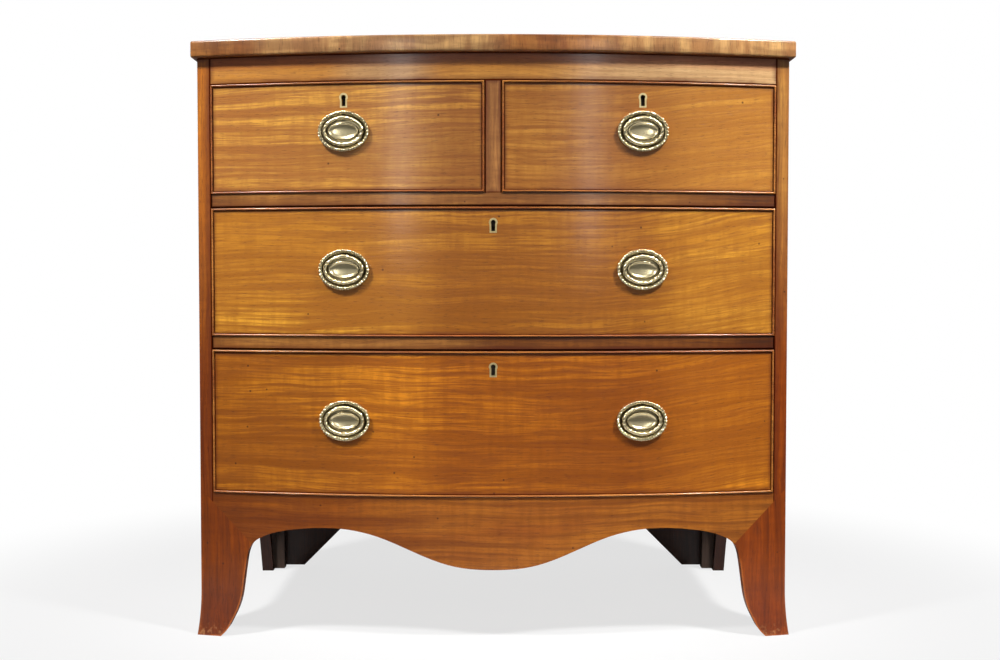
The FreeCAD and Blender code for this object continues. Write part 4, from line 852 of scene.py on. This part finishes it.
# %% Plate
PLATE_SECTION = ((9.8, 0.0), (10.2, 1.8), (10.0, 2.9), (9.3, 3.3), (8.0, 3.3), (6.2, 3.1),
                 (5.3, 2.5), (4.7, 1.6), (3.7, 0.9), (0.0, 0.7), (-2.6, 0.7))
BOSS_STEPS = ((23.9, 13.9, 0.8), (23.5, 13.6, 1.4), (23.3, 13.4, 2.8), (22.9, 13.0, 3.7),
              (22.2, 12.3, 4.3), (21.4, 11.5, 4.4), (20.7, 10.8, 4.1), (20.2, 10.3, 3.6),
              (19.4, 9.7, 3.0), (18.0, 8.9, 2.6), (13.5, 6.5, 2.1), (9.0, 4.3, 1.8),
              (4.5, 2.1, 1.6))
PLATE_AROUND = 104
PLATE_REACH = max(offset for offset, _ in PLATE_SECTION) * MM


def onto_ellipse(verts, half_width, half_height, height):
    """Moves vertices onto an ellipse, each in the direction in which it lies."""
    for vert in verts:
        turn = math.atan2(vert.co.z / HALF_HEIGHT, vert.co.x / HALF_WIDTH)
        vert.co = (half_width * math.cos(turn), -height, half_height * math.sin(turn))


def plate():
    """Rim, channel, boss and dish in one skin."""
    shape = swept_oval([(offset * MM, height * MM) for offset, height in PLATE_SECTION],
                       PLATE_AROUND, closed=False)
    edges = [edge for edge in shape.edges if edge.is_boundary]
    inner = [edge for edge in edges if edge.verts[0].co.length < HALF_WIDTH]
    outer = [edge for edge in edges if abs(edge.verts[0].co.y) < WELD]
    bmesh.ops.contextual_create(shape, geom=outer)
    for step in BOSS_STEPS:
        drawn = bmesh.ops.extrude_edge_only(shape, edges=inner)["geom"]
        inner = [item for item in drawn if isinstance(item, bmesh.types.BMEdge)]
        onto_ellipse([item for item in drawn if isinstance(item, bmesh.types.BMVert)],
                     *(size * MM for size in step))
    bmesh.ops.contextual_create(shape, geom=inner)
    bmesh.ops.recalc_face_normals(shape, faces=shape.faces)
    return shape


print("plate width and height in mm, without its lobes:",
      [round(2 * (half + PLATE_REACH) / MM, 1) for half in (HALF_WIDTH, HALF_HEIGHT)])

# %% [markdown]
# ## Gadroons
# The rim is gadrooned: cast with a row of small lobes that lie side by side like grains. There
# are forty-seven, a little over 4 mm apart. Each is a squashed sphere of a few dozen faces,
# long across the rim, set at equal steps along the oval and leaning a little.

# %% Gadroons
GADROONS = 47
GADROON_OFFSET = 8.4 * MM
GADROON_SIZE = Vector((2.6, 1.8, 1.65)) * MM
GADROON_HEIGHT = 4.4 * MM
GADROON_LEAN = 0.22
GADROON_STEP = (OVAL_LENGTH + 2 * math.pi * GADROON_OFFSET) / GADROONS


def gadroons():
    """The row of lobes."""
    shape = bmesh.new()
    for index in range(GADROONS):
        place, angle = on_oval(index / GADROONS, GADROON_OFFSET)
        place.y = -GADROON_HEIGHT
        turn = Matrix.Rotation(-angle - GADROON_LEAN, 4, "Y")
        size = Matrix.Diagonal((*GADROON_SIZE, 1))
        bmesh.ops.create_uvsphere(shape, u_segments=10, v_segments=6, radius=1.0,
                                  matrix=Matrix.Translation(place) @ turn @ size)
    return shape


print("lobes, and their spacing in mm:", GADROONS, round(GADROON_STEP / MM, 2))

# %% [markdown]
# ## The ring
# The ring is a round bar cast with a twisted leaf pattern. It is swept like the plate, in fine
# steps, and then each point is moved in or out by a wave that winds along the bar. At the top
# the bar is cut away, and a thin pin crosses the gap and turns in the eye of the post.

# %% Ring
RING_RADIUS = 2.55 * MM
RING_STAND = 5.0 * MM
RING_SIDES = 16
RING_AROUND = 260
LEAVES = 22
LEAF_DEPTH = 0.55 * MM
LEAF_SWING = 1.6
OVAL_STEPS = 4 * RING_AROUND
EYE_LENGTH = 6.4 * MM
PIN_RADIUS = 1.5 * MM
PIN_GAP = 0.1 * MM


def leafed_bar():
    """The bar all the way round, with its twisted leaves."""
    section = [(RING_RADIUS * math.cos(2 * math.pi * side / RING_SIDES),
                RING_STAND + RING_RADIUS * math.sin(2 * math.pi * side / RING_SIDES))
               for side in range(RING_SIDES)]
    shape = swept_oval(section, RING_AROUND, closed=True)
    around = [(*on_oval(step / OVAL_STEPS), step / OVAL_STEPS) for step in range(OVAL_STEPS)]
    for vert in shape.verts:
        flat = Vector((vert.co.x, 0, vert.co.z))
        place, angle, share = min(around, key=lambda row: (row[0] - flat).length_squared)
        outward = Vector((math.cos(angle), 0, math.sin(angle)))
        out = (flat - place).dot(outward)
        forward = -vert.co.y - RING_STAND
        roll = math.atan2(forward, out)
        wave = abs(math.sin(math.pi * LEAVES * share + roll))
        away = (outward * out + Vector((0, -forward, 0))).normalized()
        vert.co += away * LEAF_DEPTH * (LEAF_SWING * wave - 1.0)
    return shape


def near_top(shape, reach):
    """The faces of the upper half whose middles lie this near the centre line."""
    middles = [(face, face.calc_center_median()) for face in shape.faces]
    return [face for face, middle in middles
            if middle.z > HALF_HEIGHT / 2 and abs(middle.x) < reach]


def ring():
    """The bar with its gap at the top, and the pin across it."""
    shape = leafed_bar()
    gap = EYE_LENGTH / 2 + PIN_GAP
    for side in (-1, 1):
        geom = {item for face in near_top(shape, 2 * gap)
                for item in (face, *face.edges, *face.verts)}
        bmesh.ops.bisect_plane(shape, geom=list(geom), plane_co=(side * gap, 0, 0),
                               plane_no=(1, 0, 0), dist=ON_PLANE)
    bmesh.ops.delete(shape, geom=near_top(shape, gap - WELD), context="FACES")
    bmesh.ops.holes_fill(shape, edges=[edge for edge in shape.edges if edge.is_boundary])
    lie = Matrix.Translation((0, -RING_STAND, HALF_HEIGHT)) @ Matrix.Rotation(math.pi / 2, 4, "Y")
    bmesh.ops.create_cone(shape, cap_ends=True, segments=16, radius1=PIN_RADIUS,
                          radius2=PIN_RADIUS, depth=2 * gap + 2 * PIN_RADIUS, matrix=lie)
    return shape


print("leaves round the ring:", LEAVES, "and its bar in mm:", round(2 * RING_RADIUS / MM, 1))

# %% [markdown]
# ## Post, stem and nut
# Behind the ring's pin stands a post with a bored head. Its stem passes through the drawer
# front, and a square nut holds it inside. The head is a short barrel with a tube's wall: an
# outer and an inner circle, spun round the pin.

# %% Post
EYE_RADIUS = 3.3 * MM
EYE_BORE = PIN_RADIUS + PIN_GAP
STEM_RADIUS = 2.2 * MM
FRONT_THICKNESS = 24 * MM
NUT_SIZE = 8.5 * MM
NUT_THICKNESS = 4 * MM
STEM_END = 2 * MM
EYE_SEGMENTS = 24
EYE_SOFT = 0.5 * MM
STEM_START = 0.4 * MM
NUT_GAP = 0.2 * MM
NUT_ROUND = 0.6 * MM


def post():
    """The eye, with a groove round its middle, and its stem."""
    shape = bmesh.new()
    half = EYE_LENGTH / 2
    low = EYE_RADIUS - EYE_SOFT
    section = [(-half, EYE_BORE), (-half, low), (-half + EYE_SOFT, EYE_RADIUS),
               (-EYE_SOFT, EYE_RADIUS), (0, low), (EYE_SOFT, EYE_RADIUS),
               (half - EYE_SOFT, EYE_RADIUS), (half, low), (half, EYE_BORE)]
    loop = closed_loop(shape, [(x, -RING_STAND, HALF_HEIGHT + out) for x, out in section])
    bmesh.ops.spin(shape, geom=loop, cent=(0, -RING_STAND, HALF_HEIGHT), axis=(1, 0, 0),
                   angle=2 * math.pi, steps=EYE_SEGMENTS, use_merge=True)
    bmesh.ops.remove_doubles(shape, verts=shape.verts, dist=WELD)
    start = -RING_STAND + EYE_BORE + STEM_START
    end = FRONT_THICKNESS + NUT_THICKNESS + STEM_END
    along = Matrix.Translation((0, (start + end) / 2, HALF_HEIGHT))
    bmesh.ops.create_cone(shape, cap_ends=True, segments=20, radius1=STEM_RADIUS,
                          radius2=STEM_RADIUS, depth=end - start,
                          matrix=along @ Matrix.Rotation(math.pi / 2, 4, "X"))
    bmesh.ops.recalc_face_normals(shape, faces=shape.faces)
    return shape


def nut():
    """A square nut behind the drawer front."""
    shape = bmesh.new()
    middle = FRONT_THICKNESS + NUT_GAP + NUT_THICKNESS / 2
    bmesh.ops.create_cube(shape, size=1.0,
                          matrix=Matrix.Translation((0, middle, HALF_HEIGHT))
                          @ Matrix.Diagonal((NUT_SIZE, NUT_THICKNESS, NUT_SIZE, 1)))
    bmesh.ops.bevel(shape, geom=shape.edges[:], offset=NUT_ROUND, offset_type="OFFSET",
                    segments=2, profile=0.5, affect="EDGES", material=-1)
    return shape


print("bore of the eye in mm:", round(2 * EYE_BORE / MM, 1))

# %% [markdown]
# ## Hang the handles
# A handle is modelled once, at the origin, with its back to the wood. Copies are turned
# square to the bow and carried to their places, which come from the hinges of the frame. The
# plate with its post rides on the drawer, and each ring rides on its own hinged body.

# %% Place handles
def handle_place(x, z):
    """From the handle's own space to a spot on the bow."""
    turn = math.asin(x / BOW_RADIUS)
    return Matrix.Translation((x, on_bow(x), z)) @ Matrix.Rotation(turn, 4, "Z")


HANDLE_X = 222.5 * MM
plate_mesh = bpy.data.meshes.new("handle_plate")
fittings = join([plate(), gadroons(), post(), nut()])
fittings.to_mesh(plate_mesh)
fittings.free()
ring_mesh = bpy.data.meshes.new("handle_ring")
bail = ring()
bail.to_mesh(ring_mesh)
bail.free()


def placed(mesh, spots):
    """Copies of a mesh at several places, as one bmesh."""
    whole = bmesh.new()
    for spot in spots:
        before = len(whole.verts)
        whole.from_mesh(mesh)
        whole.verts.ensure_lookup_table()
        bmesh.ops.transform(whole, matrix=spot, verts=whole.verts[before:])
    return whole


for drawer in DRAWERS:
    spots = {}
    for joint in frame["record"]["behaviour"]["joints"]:
        if joint["child"].startswith(drawer + "_ring"):
            x, _, z = joint["pos_m"]
            spots[joint["child"]] = handle_place(math.copysign(HANDLE_X, x), z - HALF_HEIGHT)
    finished(drawer + "_plates", placed(plate_mesh, spots.values()), drawer + "_drawer",
             "brass", cast_brass, drawer + "_handle_plates")
    for body, spot in spots.items():
        name = body.replace("_bail", "")
        finished(name + "_cast", placed(ring_mesh, [spot]), body, "brass", cast_brass, name)
print("faces in a plate and a ring:", len(plate_mesh.polygons), len(ring_mesh.polygons))

# %% [markdown]
# ## Floor and backdrop
# The chest stands on pale paper in a white room. To the camera the paper is lifted towards
# white, and more so further off, so the shadow stays close by and no horizon shows. Other
# rays meet plain grey paper, which throws little light up under the chest.

# %% Floor
FLOOR_REACH = 30.0
FADE_START, FADE_END = 0.50, 1.25
NEAR_WHITE = 0.72
WHITE = (1.0, 1.0, 1.0, 1.0)
floor_shape = bmesh.new()
bmesh.ops.create_grid(floor_shape, x_segments=1, y_segments=1, size=FLOOR_REACH)
floor_mesh = bpy.data.meshes.new("studio_floor")
floor_shape.to_mesh(floor_mesh)
floor_shape.free()
floor = bpy.data.objects.new("studio_floor", floor_mesh)
bpy.context.scene.collection.objects.link(floor)

paper, tree, shader = new_material("pale_paper_floor")
feed(tree, shader, {"Base Color": linear("#C4C4C4"), "Roughness": 0.9})
place = add(tree, "TexCoord").outputs["Object"]
distance = add(tree, "VectorMath", [place], operation="LENGTH")
far = add(tree, "MapRange", (distance, FADE_START, FADE_END, NEAR_WHITE, 1.0), **SOFT_STEP)
to_camera = add(tree, "LightPath").outputs["Is Camera Ray"]
share = add(tree, "Math", (far, to_camera), operation="MULTIPLY")
white = add(tree, "Emission", {"Color": WHITE, "Strength": 1.0})
output = next(node for node in tree.nodes if node.type == "OUTPUT_MATERIAL")
feed(tree, output, {"Surface": add(tree, "MixShader", (share, shader, white))})
floor_mesh.materials.append(paper)
print("floor reaches in metres:", FLOOR_REACH)

# %% [markdown]
# ## Light
# Two soft lamps stand high at the left and the right, and two tall narrow panels stand in
# front, which draw the upright streaks of shine on the bow. The room adds an even light. The
# backdrop is white to the camera and grey in front, which gives the brass its contrast.

# %% Lamps and world
# Of each lamp: its place, what it points at, its width and height, its watts and its spread.
LAMPS = {
    "left_key": ((-1.60, -1.42, 2.87), (-0.40, -0.2, 0.60), (0.36, 0.36), 5.5, 32),
    "right_key": ((1.60, -1.42, 2.87), (0.40, -0.2, 0.60), (0.36, 0.36), 5.95, 32),
    "left_panel": ((-0.60, -2.35, 1.12), (-0.1, -0.2, 0.80), (0.10, 0.95), 2.6, 180),
    "right_panel": ((0.63, -2.35, 1.12), (0.1, -0.2, 0.80), (0.10, 0.95), 2.4, 180),
}
for name, (place, target, size, power, spread) in LAMPS.items():
    lamp = bpy.data.lights.new(name, "AREA")
    lamp.shape = "RECTANGLE"
    lamp.size, lamp.size_y = size
    lamp.energy = power
    lamp.spread = math.radians(spread)
    light = bpy.data.objects.new(name, lamp)
    light.location = place
    light.rotation_euler = (Vector(target) - Vector(place)).to_track_quat("-Z", "Y").to_euler()
    bpy.context.scene.collection.objects.link(light)

ROOM_LIGHT = 0.13
MIRRORED_FRONT, MIRRORED_BACK = 0.30, 0.9
world = bpy.data.worlds.new("studio")
bpy.context.scene.world = world
world.use_nodes = True
tree = world.node_tree
tree.nodes.clear()
ray = add(tree, "LightPath").outputs
direction = add(tree, "TexCoord").outputs["Generated"]
depth = add(tree, "SeparateXYZ", [direction]).outputs[1]
behind = add(tree, "MapRange", (depth, -0.25, 0.45, MIRRORED_FRONT, MIRRORED_BACK), **SOFT_STEP)
ambient = add(tree, "Background", {"Color": WHITE, "Strength": ROOM_LIGHT})
mirrored = add(tree, "Background", {"Color": WHITE, "Strength": behind})
seen = add(tree, "Background", {"Color": WHITE, "Strength": 1.0})
glossy = add(tree, "Math", (ray["Is Glossy Ray"], ray["Is Transmission Ray"]),
             operation="MAXIMUM")
unseen = add(tree, "MixShader", (glossy, ambient, mirrored))
both = add(tree, "MixShader", (ray["Is Camera Ray"], unseen, seen))
add(tree, "OutputWorld", {"Surface": both})
bpy.context.scene.view_settings.view_transform = "Standard"
print("lamps:", ", ".join(LAMPS))

# %% [markdown]
# ## Camera
# The camera stands two metres in front, a little above the middle of the chest, and looks
# very slightly down. The front is seen square on, and the underside of the top just shows.

# %% Camera
CAMERA_PLACE = (0.0, -2.134, 0.5372)
CAMERA_PITCH = math.radians(90 - 2.042)
LENS = 45.43
SIDE_SHIFT = 0.0068
camera_data = bpy.data.cameras.new("camera")
camera_data.lens = LENS
camera_data.sensor_width = 36.0
camera_data.shift_x = SIDE_SHIFT
camera = bpy.data.objects.new("camera", camera_data)
camera.location = CAMERA_PLACE
camera.rotation_euler = (CAMERA_PITCH, 0.0, 0.0)
bpy.context.scene.collection.objects.link(camera)
bpy.context.scene.camera = camera
print("camera stands at:", CAMERA_PLACE, "with a lens of", LENS, "mm")
